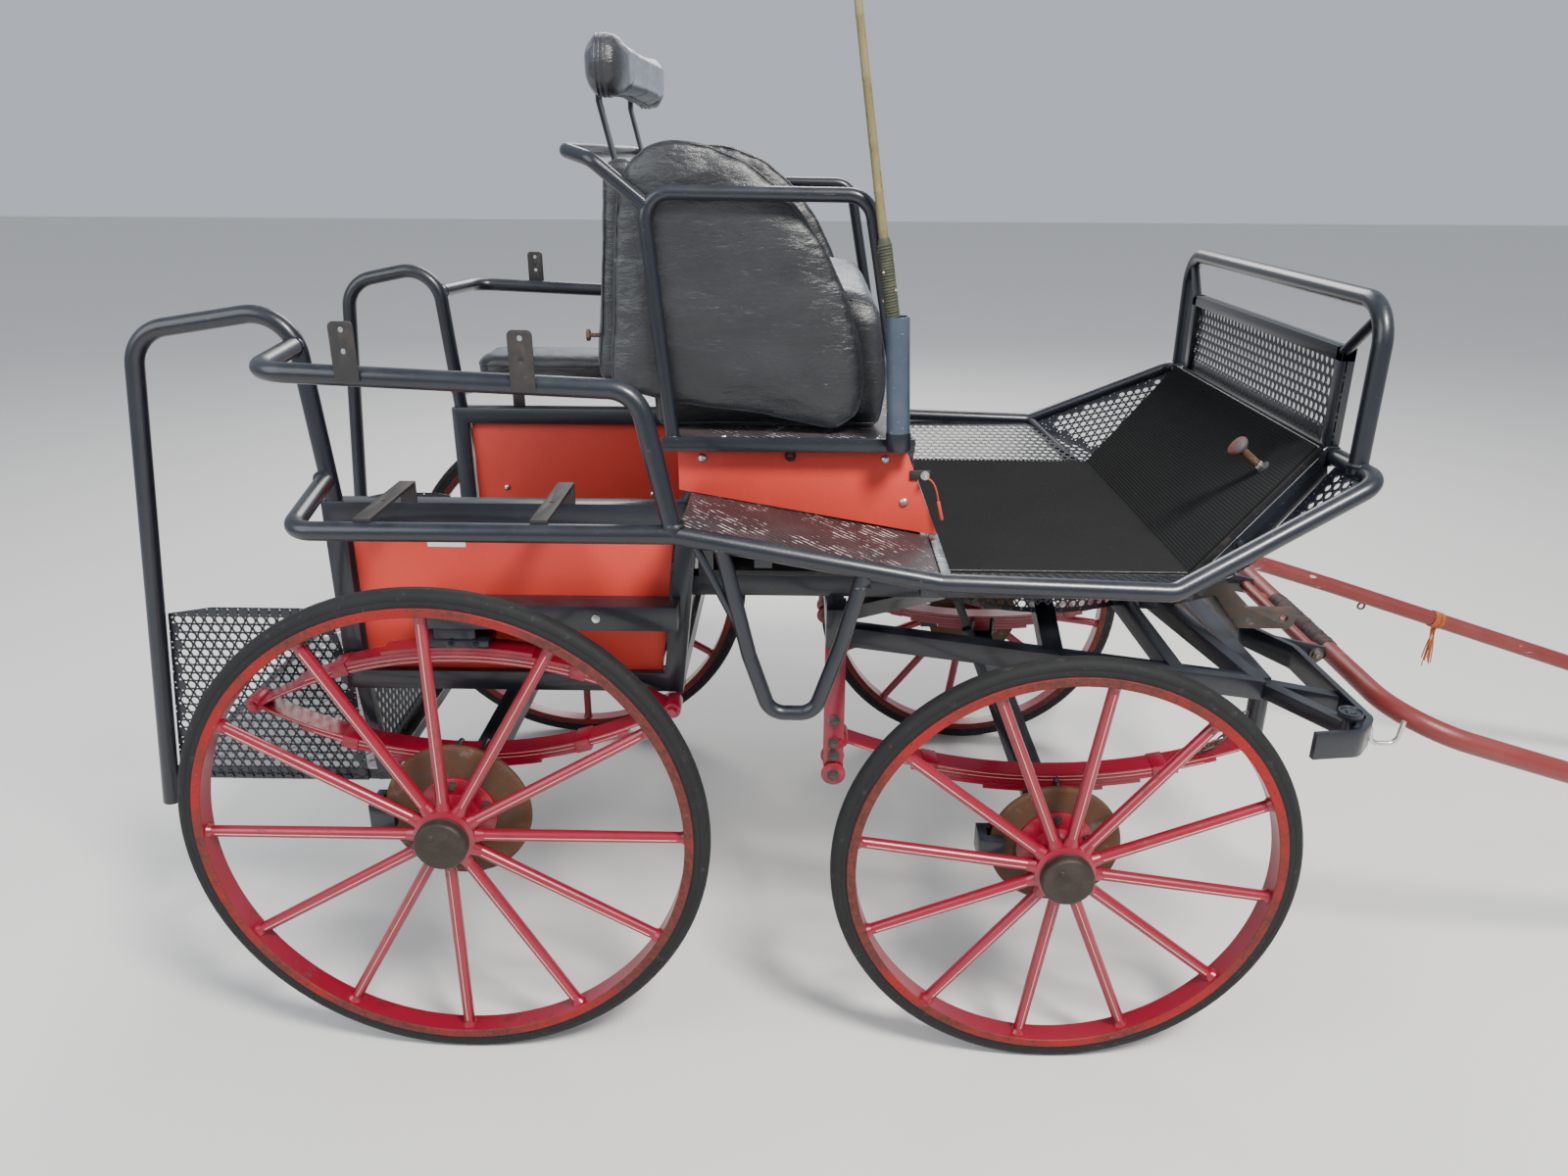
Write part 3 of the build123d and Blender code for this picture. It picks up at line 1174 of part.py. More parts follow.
with BuildPart() as splinter_bar:
    half_plan = (
        # x, distance from the middle
        (SPLINTER_TIP_X, SPLINTER_TIP_Y),
        (SPLINTER_X - 40, SPLINTER_TIP_Y - 12),
        (SPLINTER_X, SPLINTER_TIP_Y - 62),
        (SPLINTER_X - 8, 275),
        (SPLINTER_X - SPLINTER_SET_BACK, 150),
    )
    route = [spot(x, -y, FORE_NOSE_Z) for x, y in half_plan] + [spot(x, y, FORE_NOSE_Z) for x, y in reversed(half_plan)]
    with BuildLine() as path:
        FilletPolyline(*route, radius=30)
    start = path.wire() @ 0
    with BuildSketch(Plane(origin=start, x_dir=(0, 0, 1), z_dir=path.wire() % 0)) as section:
        Rectangle(SPLINTER_HEIGHT, SPLINTER_THICK)
    sweep(section.sketch, path=path.wire())
    for side, hand in SIDES:
        nose = spot(FORE_NOSE_X, side * FORE_HALF_WIDTH, FORE_NOSE_Z)
        add_bar(nose, spot(SPLINTER_X - 4, side * 480, FORE_NOSE_Z), 25, 30)
        add_bar(nose, spot(SPLINTER_X - 20, side * 617, FORE_NOSE_Z), 25, 30)
        top_z = FORE_NOSE_Z + SPLINTER_HEIGHT / 2
        roller_x = SPLINTER_X - ROLLER_SET_BACK
        with BuildSketch(Plane(origin=spot(roller_x, side * ROLLER_Y, FORE_NOSE_Z - 10))):
            Circle(ROLLER_NECK_D / 2)
        extrude(amount=10 + SPLINTER_HEIGHT / 2 + 3)
        with BuildSketch(Plane(origin=spot(roller_x, side * ROLLER_Y, top_z + 3))):
            Circle(ROLLER_D / 2)
        extrude(amount=ROLLER_THICK)
        lug_y = min(pair(side, HINGE_HALF_WIDTH + HINGE_SIDE_GAP, HINGE_HALF_WIDTH + HINGE_SIDE_GAP + LUG_THICK))
        lug = (
            (SPLINTER_X - 42, FORE_NOSE_Z - 24),
            (HINGE_X + 4, HINGE_Z - 22),
            (HINGE_X + 24, HINGE_Z - 6),
            (HINGE_X + 20, HINGE_Z + 16),
            (SPLINTER_X - 42, FORE_NOSE_Z + 24),
        )
        add_plate(lug, lug_y, LUG_THICK)
        pin_y = pair(side, HINGE_HALF_WIDTH - HINGE_PIN_LENGTH, HINGE_HALF_WIDTH + HINGE_SIDE_GAP + 1)
        add_disc(HINGE_X, min(pin_y), HINGE_Z, HINGE_PIN_D, HINGE_PIN_LENGTH + HINGE_SIDE_GAP + 1)
    cut_away(fore_frame)
write(splinter_bar, "splinter_bar")

with BuildPart() as pole_lugs:
    half = 24
    knee_x = POLE_LUG_X - POLE_LUG_LENGTH
    crest_x = knee_x - POLE_ARM_RUN
    crest_z = POLE_LUG_Z + POLE_ARM_RISE
    strap = (
        (FORE_CROSS_X + FRAME_BAR / 2, LOW_BAR_Z - 18),
        (crest_x - 4, crest_z - half),
        (knee_x + 6, POLE_LUG_Z - half),
        (POLE_LUG_X + 14, POLE_LUG_Z - half),
        (POLE_LUG_X + half, POLE_LUG_Z - 12),
        (POLE_LUG_X + half, POLE_LUG_Z + 16),
        (POLE_LUG_X + 14, POLE_LUG_Z + half),
        (knee_x + 24, POLE_LUG_Z + half),
        (crest_x + 12, crest_z + 8),
        (FORE_CROSS_X + FRAME_BAR / 2, LOW_BAR_Z + 18),
    )
    for side, hand in SIDES:
        lug_y = min(pair(side, POLE_LUG_Y - POLE_LUG_THICK, POLE_LUG_Y))
        add_plate(strap, lug_y, POLE_LUG_THICK)
        add_disc(POLE_LUG_X, lug_y - 1, POLE_LUG_Z, POLE_LUG_HOLE_D, POLE_LUG_THICK + 2, Mode.SUBTRACT)
    cut_away(fore_frame)
write(pole_lugs, "pole_lugs")

with BuildPart() as trace_hooks:
    hook = (
        # x ahead of the splinter's face, z above its middle
        (-1, -6), (19, -6), (21, -47), (72, -47), (78, 0),
    )
    for side, hand in SIDES:
        face_x = SPLINTER_X + SPLINTER_THICK / 2
        points = [spot(face_x + x, side * (HOOK_Y - 30), FORE_NOSE_Z + z) for x, z in hook]
        add_tube(points, HOOK_D, 18)
    cut_away(splinter_bar)
write(trace_hooks, "trace_hooks")

# Shafts, hinged at the splinter bar with their tips on the ground
with BuildPart() as shafts:
    slope = Vector(math.cos(SHAFT_DROOP), 0, -math.sin(SHAFT_DROOP))

    def along(run, y):
        """A point of the shafts' own plane, run ahead of the hinge."""
        return spot(HINGE_X, y, HINGE_Z) + slope * run

    bow = (
        along(SHAFT_LENGTH, -SHAFT_TIP_Y),
        along(SHAFT_SHOULDER, -SHAFT_HALF_WIDTH),
        along(SHAFT_CROSS, -SHAFT_HALF_WIDTH),
        along(SHAFT_CROSS, SHAFT_HALF_WIDTH),
        along(SHAFT_SHOULDER, SHAFT_HALF_WIDTH),
        along(SHAFT_LENGTH, SHAFT_TIP_Y),
    )
    add_tube(bow, SHAFT_D, SHAFT_BEND)
    for side, hand in SIDES:
        with Locations(along(SHAFT_LENGTH, side * SHAFT_TIP_Y)):
            Sphere(SHAFT_D / 2)
    add_tube((along(0, -HINGE_HALF_WIDTH), along(0, HINGE_HALF_WIDTH)), HINGE_TUBE_D)
    for tie_y in (-150, 150):
        add_bar(along(0, tie_y), along(SHAFT_CROSS, tie_y), 30, 8)
    for side, hand in SIDES:
        bore_y = pair(side, HINGE_HALF_WIDTH - HINGE_PIN_LENGTH - 2, HINGE_HALF_WIDTH + 1)
        bore_d = HINGE_PIN_D + 2 * RUNNING_GAP
        add_disc(HINGE_X, min(bore_y), HINGE_Z, bore_d, HINGE_PIN_LENGTH + 3, Mode.SUBTRACT)
write(shafts, "shafts")
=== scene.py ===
import json
import math
import random
from contextlib import contextmanager

import bmesh
import bpy
from bpy.props import FloatProperty, FloatVectorProperty, PointerProperty
from mathutils import Matrix, Vector, noise
from mathutils.bvhtree import BVHTree


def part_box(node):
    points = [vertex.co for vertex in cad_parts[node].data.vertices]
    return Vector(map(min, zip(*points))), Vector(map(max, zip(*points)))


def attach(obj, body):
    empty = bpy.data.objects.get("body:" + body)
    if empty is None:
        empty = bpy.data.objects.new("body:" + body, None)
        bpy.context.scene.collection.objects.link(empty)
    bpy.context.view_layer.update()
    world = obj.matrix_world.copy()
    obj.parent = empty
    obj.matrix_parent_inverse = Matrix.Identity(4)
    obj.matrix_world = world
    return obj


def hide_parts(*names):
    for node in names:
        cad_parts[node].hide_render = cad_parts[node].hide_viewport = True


bl_info = {
    "name": "Horse Drawn Carriage",
    "version": (1, 0, 0),
    "blender": (4, 5, 0),
    "location": "View3D > Sidebar > Carriage",
    "description": "Dresses the carriage's frame with wheels, springs, sheet work and upholstery",
    "category": "Add Mesh",
}

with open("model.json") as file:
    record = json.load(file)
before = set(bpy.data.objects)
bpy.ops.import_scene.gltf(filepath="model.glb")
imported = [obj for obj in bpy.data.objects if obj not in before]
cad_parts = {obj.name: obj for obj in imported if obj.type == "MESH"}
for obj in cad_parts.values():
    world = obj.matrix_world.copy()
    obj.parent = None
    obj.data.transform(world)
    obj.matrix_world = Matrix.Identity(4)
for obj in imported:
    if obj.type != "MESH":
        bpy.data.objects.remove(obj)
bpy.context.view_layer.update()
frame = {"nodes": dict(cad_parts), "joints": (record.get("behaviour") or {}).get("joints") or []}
JOINT = {joint["name"]: joint for joint in frame["joints"]}
AXLE_X = JOINT["rear_right_wheel_spin"]["pos_m"][0]
BOTH = (-1, 1)
SIDES = tuple(zip(BOTH, ("right", "left")))
UP = Vector((0, 0, 1))
LEFT = Vector((0, 1, 0))
MM = 0.001

# Stations in millimetres: ahead of the rear axle, out from the middle and up
KING_PIN_X = 1168
HANGER_X = 735
REAR_SPRING_Y = 472
FRONT_SPRING_Y = 420
FLOOR_Z = 948
KNEE_X = 1412
BOARD_TOP_X, BOARD_TOP_Z = 1618, 1204
HINGE_X, HINGE_Z = 1790, 690

SPOKES = 12
HUB_BOLTS = 5
TYRE_HEIGHT = 0.030
LEAF_STEP = 8


def spot(x, y, z):
    """A point from millimetres, its X ahead of the rear axle."""
    return Vector((AXLE_X + x * MM, y * MM, z * MM))


# The footboard rises from its knee, and BOARD_OUT stands on it
BOARD_KNEE = spot(KNEE_X, 0, FLOOR_Z)
BOARD_RISE = (spot(BOARD_TOP_X, 0, BOARD_TOP_Z) - BOARD_KNEE).normalized()
BOARD_OUT = Vector((-BOARD_RISE.z, 0, BOARD_RISE.x))


# Sizes and colours

def size(name, default, description):
    return FloatProperty(name=name, description=description, default=default, unit="LENGTH", precision=5)


def colour(name, default, description):
    return FloatVectorProperty(name=name, description=description, default=default, subtype="COLOR", size=3,
                               min=0.0, max=1.0)


class CarriageSizes(bpy.types.PropertyGroup):
    """Sizes of the small parts that finish the carriage"""
    hole: size("Hole", 0.015, "Diameter of the holes in the perforated sheets")
    pitch: size("Hole pitch", 0.021, "Distance between two holes")
    sheet: size("Sheet", 0.0025, "Thickness of the perforated sheets")
    rib: size("Rib pitch", 0.0042, "Distance between two ribs of the floor mat")
    piping: size("Piping", 0.0050, "Diameter of the piping on the cushions")
    stripe: size("Pinstripe", 0.0012, "Width of the painted pinstripes")
    spoke: size("Spoke", 0.024, "Diameter of a spoke at the hub")
    leaf: size("Leaf", 0.0072, "Thickness of one spring leaf")
    weld: size("Weld bead", 0.0045, "Width of the weld beads")
    whip: size("Whip", 0.018, "Diameter of the whip at its foot")


class CarriageColours(bpy.types.PropertyGroup):
    """Colours of the carriage's finishes"""
    black: colour("Frame paint", (0.0050, 0.0070, 0.0125), "Blue-black paint on the tubes")
    panel: colour("Panel paint", (0.62, 0.054, 0.036), "Brick red of the panels")
    crimson: colour("Wheel paint", (0.225, 0.0024, 0.0170), "Crimson of the wheels and springs")
    shaft: colour("Shaft paint", (0.170, 0.0215, 0.0200), "Dull red of the shafts")
    stripe: colour("Pinstripe", (0.58, 0.38, 0.30), "Cream of the pinstripes")
    rubber: colour("Rubber", (0.0075, 0.0078, 0.0085), "Tyres and the floor mat")
    vinyl: colour("Vinyl", (0.0070, 0.0076, 0.0090), "Covers of the cushions")
    board: colour("Board", (0.0240, 0.0210, 0.0225), "Dark wooden boards")
    rust: colour("Rust", (0.105, 0.048, 0.024), "Rust on bare iron")
    steel: colour("Steel", (0.33, 0.33, 0.32), "Bare and galvanised steel")
    cane: colour("Cane", (0.165, 0.135, 0.052), "Olive cane of the whip")
    floor: colour("Floor", (0.72, 0.71, 0.69), "Studio floor")


# Finishes

class Finish:
    """A node material, laid up in coats from its base colour."""

    def __init__(self, name, base, rough, metal=0.0, coat=0.0, shine=0.5):
        self.material = bpy.data.materials.new(name)
        self.material.use_nodes = True
        self.tree = self.material.node_tree
        self.shader = self.tree.nodes["Principled BSDF"]
        self.shader.inputs["Metallic"].default_value = metal
        self.shader.inputs["Specular IOR Level"].default_value = shine
        self.shader.inputs["Coat Weight"].default_value = coat
        self.shader.inputs["Coat Roughness"].default_value = 0.12
        self.place = self.node("ShaderNodeTexCoord").outputs["Object"]
        self.base = self.rgb(base)
        self.rough = self.node("ShaderNodeValue").outputs[0]
        self.rough.default_value = rough
        self.normal = None

    def node(self, kind, **settings):
        made = self.tree.nodes.new(kind)
        for key, value in settings.items():
            setattr(made, key, value)
        return made

    def link(self, source, target):
        self.tree.links.new(source, target)

    def rgb(self, value):
        made = self.node("ShaderNodeRGB")
        made.outputs[0].default_value = (*value, 1.0)
        return made.outputs[0]

    def scaled(self, stretch):
        if stretch is None:
            return self.place
        mapping = self.node("ShaderNodeMapping")
        mapping.inputs["Scale"].default_value = stretch
        self.link(self.place, mapping.inputs["Vector"])
        return mapping.outputs["Vector"]

    def noise(self, scale, detail=4.0, rough=0.6, stretch=None, warp=0.0):
        made = self.node("ShaderNodeTexNoise")
        made.inputs["Scale"].default_value = scale
        made.inputs["Detail"].default_value = detail
        made.inputs["Roughness"].default_value = rough
        made.inputs["Distortion"].default_value = warp
        self.link(self.scaled(stretch), made.inputs["Vector"])
        return made.outputs["Fac"]

    def cells(self, scale, feature="F1"):
        made = self.node("ShaderNodeTexVoronoi", feature=feature)
        made.inputs["Scale"].default_value = scale
        self.link(self.place, made.inputs["Vector"])
        return made.outputs["Distance"]

    def bands(self, scale, axis, warp=0.0):
        made = self.node("ShaderNodeTexWave", wave_type="BANDS", bands_direction=axis)
        made.inputs["Scale"].default_value = scale
        made.inputs["Distortion"].default_value = warp
        self.link(self.place, made.inputs["Vector"])
        return made.outputs["Fac"]

    def limit(self, value, low, high):
        made = self.node("ShaderNodeMapRange", clamp=True)
        self.link(value, made.inputs["Value"])
        made.inputs["From Min"].default_value = low
        made.inputs["From Max"].default_value = high
        return made.outputs["Result"]

    def maths(self, operation, first, second):
        made = self.node("ShaderNodeMath", operation=operation)
        for value, socket in zip((first, second), made.inputs):
            if isinstance(value, (int, float)):
                socket.default_value = value
            else:
                self.link(value, socket)
        return made.outputs[0]

    def facing(self, axis):
        """1 where the surface looks along an axis of the piece, falling to 0 at right angles."""
        coordinates = self.node("ShaderNodeTexCoord")
        split = self.node("ShaderNodeSeparateXYZ")
        self.link(coordinates.outputs["Normal"], split.inputs[0])
        return self.limit(split.outputs[axis], 0.1, 0.95)

    def coat(self, mask, tint, rough, strength=1.0):
        """Lay a colour and a roughness over the coats below, where the mask is 1."""
        mask = self.maths("MULTIPLY", mask, strength)
        mix = self.node("ShaderNodeMix", data_type="RGBA")
        self.link(mask, mix.inputs[0])
        self.link(self.base, mix.inputs[6])
        mix.inputs[7].default_value = (*tint, 1.0)
        self.base = mix.outputs[2]
        blend = self.node("ShaderNodeMix", data_type="FLOAT")
        self.link(mask, blend.inputs[0])
        self.link(self.rough, blend.inputs[2])
        blend.inputs[3].default_value = rough
        self.rough = blend.outputs[0]

    def mottle(self, grain, low, high, tint, rough, strength=1.0):
        """Lay a coat in patches of noise, from none at its low level to whole at its high one."""
        self.coat(self.limit(self.noise(*grain), low, high), tint, rough, strength)

    def relief(self, value, depth, strength=1.0):
        bump = self.node("ShaderNodeBump")
        bump.inputs["Strength"].default_value = strength
        bump.inputs["Distance"].default_value = depth
        self.link(value, bump.inputs["Height"])
        if self.normal is not None:
            self.link(self.normal, bump.inputs["Normal"])
        self.normal = bump.outputs["Normal"]

    def done(self):
        self.link(self.base, self.shader.inputs["Base Color"])
        self.link(self.rough, self.shader.inputs["Roughness"])
        if self.normal is not None:
            self.link(self.normal, self.shader.inputs["Normal"])
        return self.material


FINISHES = {}


def frame_paint(tints):
    """Blue-black paint: dusty on top, scratched, with rust coming through in specks."""
    paint = Finish("frame_paint", tints.black, 0.34, coat=0.25)
    paint.mottle((3.5, 5), 0.45, 0.75, (0.0105, 0.0145, 0.0230), 0.40, 0.7)
    dust = paint.maths("MULTIPLY", paint.facing("Z"), paint.limit(paint.noise(14, 6), 0.35, 0.7))
    paint.coat(dust, (0.060, 0.068, 0.078), 0.60, 0.35)
    scratch = paint.limit(paint.noise(60, 3, 0.5, (1, 9, 9)), 0.70, 0.74)
    paint.coat(scratch, (0.11, 0.12, 0.13), 0.5, 0.5)
    chips = paint.maths("MULTIPLY", paint.limit(paint.noise(95, 4, 0.7), 0.665, 0.70),
                        paint.limit(paint.noise(6, 3), 0.5, 0.62))
    paint.coat(chips, tints.rust, 0.85)
    paint.relief(paint.noise(220, 2), 0.0002)
    paint.relief(chips, -0.0004)
    return paint.done()


def worn_paint(tints):
    """Frame paint rubbed through to light steel, where boots step on it."""
    paint = Finish("worn_paint", tints.black, 0.36)
    paint.mottle((40, 5, 0.7), 0.42, 0.60, (0.105, 0.125, 0.150), 0.42, 0.9)
    paint.mottle((120, 5, 0.7), 0.56, 0.64, (0.34, 0.36, 0.38), 0.40, 0.8)
    return paint.done()


def panel_paint(tints):
    """Satin brick red on flat sheet, a little faded and streaked."""
    paint = Finish("panel_paint", tints.panel, 0.52, shine=0.32)
    paint.mottle((4, 5), 0.4, 0.75, (0.48, 0.040, 0.030), 0.56, 0.6)
    paint.mottle((30, 4, 0.6, (8, 8, 1)), 0.55, 0.75, (0.64, 0.088, 0.066), 0.58, 0.30)
    paint.mottle((150, 3), 0.72, 0.76, (0.14, 0.05, 0.04), 0.7, 0.8)
    paint.relief(paint.noise(35, 3), 0.0006, 0.5)
    paint.relief(paint.noise(500, 2), 0.00012)
    return paint.done()


def wheel_paint(tints):
    """Glossy crimson brushed on, sun-faded in places, chipped to rust."""
    paint = Finish("wheel_paint", tints.crimson, 0.32, coat=0.45)
    paint.shader.inputs["Coat Roughness"].default_value = 0.24
    paint.mottle((5, 4), 0.5, 0.8, (0.29, 0.006, 0.031), 0.34, 0.6)
    paint.mottle((9, 5), 0.60, 0.74, (0.105, 0.0018, 0.0065), 0.3, 0.7)
    grime = paint.maths("MULTIPLY", paint.limit(paint.noise(45, 5, 0.75), 0.57, 0.64),
                        paint.limit(paint.noise(7, 2), 0.50, 0.6))
    paint.coat(grime, (0.085, 0.020, 0.016), 0.70, 0.75)
    paint.relief(paint.noise(160, 2, 0.5, (1, 1, 1)), 0.00016)
    paint.relief(grime, -0.0004)
    return paint.done()


def rim_paint(tints):
    """The wheel rims' worn side: orange red rubbed through to brown iron."""
    paint = Finish("rim_paint", (0.25, 0.0085, 0.0075), 0.50, shine=0.30)
    worn = paint.limit(paint.noise(3.4, 6, 0.66), 0.38, 0.53)
    paint.coat(worn, (0.105, 0.027, 0.020), 0.70, 0.85)
    rust = paint.maths("MULTIPLY", paint.limit(paint.noise(70, 7, 0.78, None, 0.6), 0.44, 0.56), worn)
    paint.coat(rust, (0.050, 0.022, 0.017), 0.82, 0.75)
    paint.mottle((130, 6, 0.75), 0.57, 0.63, (0.032, 0.015, 0.012), 0.85, 0.75)
    paint.mottle((95, 4, 0.7), 0.65, 0.69, (0.33, 0.15, 0.11), 0.8, 0.35)
    paint.relief(paint.noise(120, 5), 0.0007)
    return paint.done()


def shaft_paint(tints):
    """Dull red on the shafts, with long pale scrapes."""
    paint = Finish("shaft_paint", tints.shaft, 0.42)
    paint.mottle((6, 5), 0.45, 0.7, (0.205, 0.044, 0.037), 0.5, 0.7)
    scrape = paint.maths("MULTIPLY", paint.limit(paint.noise(55, 4, 0.6, (0.25, 1.6, 1.6)), 0.64, 0.67),
                         paint.limit(paint.noise(2.6, 2), 0.5, 0.58))
    paint.coat(scrape, (0.60, 0.50, 0.46), 0.6, 0.9)
    paint.mottle((80, 5, 0.75), 0.64, 0.68, (0.10, 0.025, 0.020), 0.7, 0.8)
    paint.relief(paint.noise(200, 2), 0.0003)
    return paint.done()


def tyre_rubber(tints):
    """Solid rubber, greyed and dusty on its wall, with fine cracks."""
    rubber = Finish("tyre_rubber", tints.rubber, 0.72, shine=0.35)
    rubber.mottle((9, 6, 0.7), 0.45, 0.72, (0.0145, 0.0155, 0.0160), 0.86, 0.7)
    rubber.mottle((55, 5, 0.7), 0.60, 0.68, (0.070, 0.066, 0.058), 0.95, 0.4)
    rubber.relief(rubber.noise(140, 5, 0.7), 0.0009)
    rubber.relief(rubber.limit(rubber.cells(36, "DISTANCE_TO_EDGE"), 0.0, 0.03), 0.0004, 0.5)
    return rubber.done()


def mat_rubber(tints):
    """Floor mat rubber with a light bloom of dust."""
    rubber = Finish("mat_rubber", tints.rubber, 0.66, shine=0.22)
    rubber.mottle((5, 5), 0.4, 0.8, (0.0125, 0.0145, 0.0142), 0.72, 0.6)
    rubber.mottle((85, 5, 0.7), 0.66, 0.72, (0.16, 0.155, 0.14), 0.9, 0.30)
    rubber.relief(rubber.bands(78, "X"), 0.0009, 0.7)
    rubber.relief(rubber.noise(600, 2), 0.0003)
    return rubber.done()


def vinyl(tints):
    """Black grained vinyl, creased, with a few specks of dust."""
    cover = Finish("vinyl", tints.vinyl, 0.36, shine=0.75)
    cover.shader.inputs["Sheen Weight"].default_value = 0.30
    cover.shader.inputs["Sheen Roughness"].default_value = 0.45
    cover.shader.inputs["Sheen Tint"].default_value = (0.72, 0.84, 1.0, 1.0)
    cover.mottle((7, 5, 0.6, (1, 1, 2.2)), 0.42, 0.72, (0.0165, 0.0180, 0.0205), 0.44, 0.8)
    cover.mottle((60, 6, 0.75), 0.62, 0.72, (0.050, 0.048, 0.045), 0.70, 0.22)
    cover.relief(cover.noise(11, 3, 0.5, (1.0, 1.0, 2.4), 0.4), 0.010, 0.5)
    cover.relief(cover.noise(48, 4, 0.55, (1.0, 1.0, 3.0), 0.9), 0.0022, 0.5)
    cover.relief(cover.cells(520), 0.0006, 0.5)
    cover.relief(cover.noise(900, 2), 0.0002, 0.4)
    return cover.done()


def dark_board(tints):
    """Phenolic faced plywood: a fine woven grip pattern, scuffed to pale streaks along its grooves."""
    board = Finish("dark_board", tints.board, 0.42)
    weave = board.maths("MULTIPLY", board.bands(95, "X"), board.bands(95, "Y"))
    board.mottle((9, 5), 0.42, 0.66, (0.058, 0.044, 0.047), 0.5, 0.8)
    grooves = board.limit(board.bands(41, "DIAGONAL", 2.2), 0.74, 0.93)
    board.coat(grooves, (0.085, 0.072, 0.074), 0.55, 0.45)
    worn = board.maths("MULTIPLY", board.limit(board.noise(6.5, 4, 0.7), 0.48, 0.56),
                       board.limit(board.noise(34, 4, 0.7), 0.49, 0.55))
    scuff = board.maths("MULTIPLY", worn, grooves)
    board.coat(scuff, (0.66, 0.61, 0.60), 0.65, 1.0)
    board.relief(weave, 0.0007, 0.8)
    board.relief(scuff, -0.0004)
    return board.done()


def rusty_iron(tints):
    """Bare iron, rusted brown with greyer rubbed places."""
    iron = Finish("rusty_iron", tints.rust, 0.78, metal=0.15, shine=0.30)
    iron.mottle((22, 6, 0.7), 0.42, 0.62, (0.075, 0.050, 0.038), 0.66, 0.9)
    iron.mottle((60, 5, 0.7), 0.57, 0.66, (0.150, 0.075, 0.042), 0.9, 0.7)
    iron.mottle((16, 3), 0.62, 0.72, (0.17, 0.155, 0.14), 0.5, 0.7)
    iron.relief(iron.noise(180, 6, 0.72), 0.0008)
    return iron.done()


def bare_steel(tints):
    """Galvanised steel, dull and stained."""
    steel = Finish("bare_steel", tints.steel, 0.42, metal=0.85)
    steel.mottle((20, 5, 0.7), 0.42, 0.66, (0.16, 0.15, 0.14), 0.58, 0.8)
    steel.mottle((75, 5, 0.7), 0.63, 0.69, tints.rust, 0.8, 0.7)
    steel.relief(steel.cells(140), 0.0003, 0.5)
    return steel.done()


def worn_steel(tints):
    """Flat bar that has lost its paint: dark, brown and rubbed."""
    steel = Finish("worn_steel", (0.075, 0.066, 0.060), 0.48, metal=0.45)
    steel.mottle((18, 6, 0.7), 0.45, 0.62, (0.125, 0.085, 0.060), 0.62, 0.85)
    steel.mottle((70, 5, 0.7), 0.60, 0.66, (0.17, 0.075, 0.035), 0.85, 0.7)
    steel.mottle((26, 4), 0.60, 0.70, (0.30, 0.27, 0.25), 0.4, 0.55)
    steel.relief(steel.noise(160, 5, 0.7), 0.0006)
    return steel.done()


def tread_plate(tints):
    """Aluminium chequer plate, grey and trodden."""
    plate = Finish("tread_plate", (0.55, 0.55, 0.54), 0.34, metal=0.9)
    plate.mottle((12, 5, 0.7), 0.45, 0.68, (0.30, 0.29, 0.27), 0.55, 0.8)
    plate.mottle((60, 5, 0.7), 0.60, 0.68, (0.12, 0.10, 0.08), 0.8, 0.6)
    plate.relief(plate.noise(240, 3), 0.0003)
    return plate.done()


def cap_iron(tints):
    """Nearly black brown iron of the hub caps."""
    iron = Finish("cap_iron", (0.026, 0.018, 0.0125), 0.50, metal=0.35)
    iron.mottle((30, 6, 0.7), 0.42, 0.62, (0.046, 0.036, 0.028), 0.60, 0.8)
    iron.mottle((110, 5, 0.7), 0.63, 0.69, (0.115, 0.062, 0.034), 0.85, 0.7)
    iron.relief(iron.noise(220, 6, 0.72), 0.0006)
    return iron.done()


def dull_iron(tints):
    """Dark grey flat bar under what is left of its paint."""
    iron = Finish("dull_iron", (0.024, 0.023, 0.023), 0.54, metal=0.20)
    iron.mottle((20, 6, 0.7), 0.48, 0.64, (0.043, 0.035, 0.030), 0.66, 0.7)
    iron.mottle((85, 5, 0.7), 0.64, 0.69, tints.rust, 0.85, 0.7)
    iron.relief(iron.noise(180, 5, 0.7), 0.0005)
    return iron.done()


def black_board(tints):
    """Black faced plywood under the mat."""
    board = Finish("black_board", (0.0085, 0.0080, 0.0085), 0.45)
    board.mottle((40, 5, 0.7), 0.58, 0.66, (0.040, 0.030, 0.026), 0.6, 0.7)
    board.relief(board.noise(150, 3), 0.0004)
    return board.done()


def clay_paint(tints):
    """Pinkish red oxide on the pedal's head."""
    paint = Finish("clay_paint", (0.120, 0.040, 0.031), 0.70, shine=0.30)
    paint.mottle((55, 5, 0.7), 0.5, 0.62, (0.080, 0.027, 0.021), 0.7, 0.8)
    paint.mottle((28, 3, 0.5), 0.54, 0.60, (0.060, 0.072, 0.075), 0.6, 0.8)
    paint.relief(paint.noise(200, 4), 0.0005)
    return paint.done()


def bright_steel(tints):
    """Zinc plated bolts and the clear metal of hooks."""
    steel = Finish("bright_steel", (0.62, 0.62, 0.60), 0.30, metal=0.95)
    steel.mottle((130, 4, 0.7), 0.55, 0.68, (0.30, 0.26, 0.22), 0.55, 0.7)
    return steel.done()


def pale_paint(tints):
    """Cream of the pinstripes and of the grip's studs."""
    paint = Finish("pale_paint", tints.stripe, 0.42)
    paint.mottle((70, 4, 0.7), 0.60, 0.66, (0.42, 0.14, 0.10), 0.6, 0.6)
    return paint.done()


def plate_white(tints):
    """Clean white enamel of the blank plate."""
    paint = Finish("plate_white", (0.78, 0.77, 0.74), 0.34)
    paint.mottle((40, 4), 0.6, 0.75, (0.52, 0.50, 0.46), 0.5, 0.5)
    return paint.done()


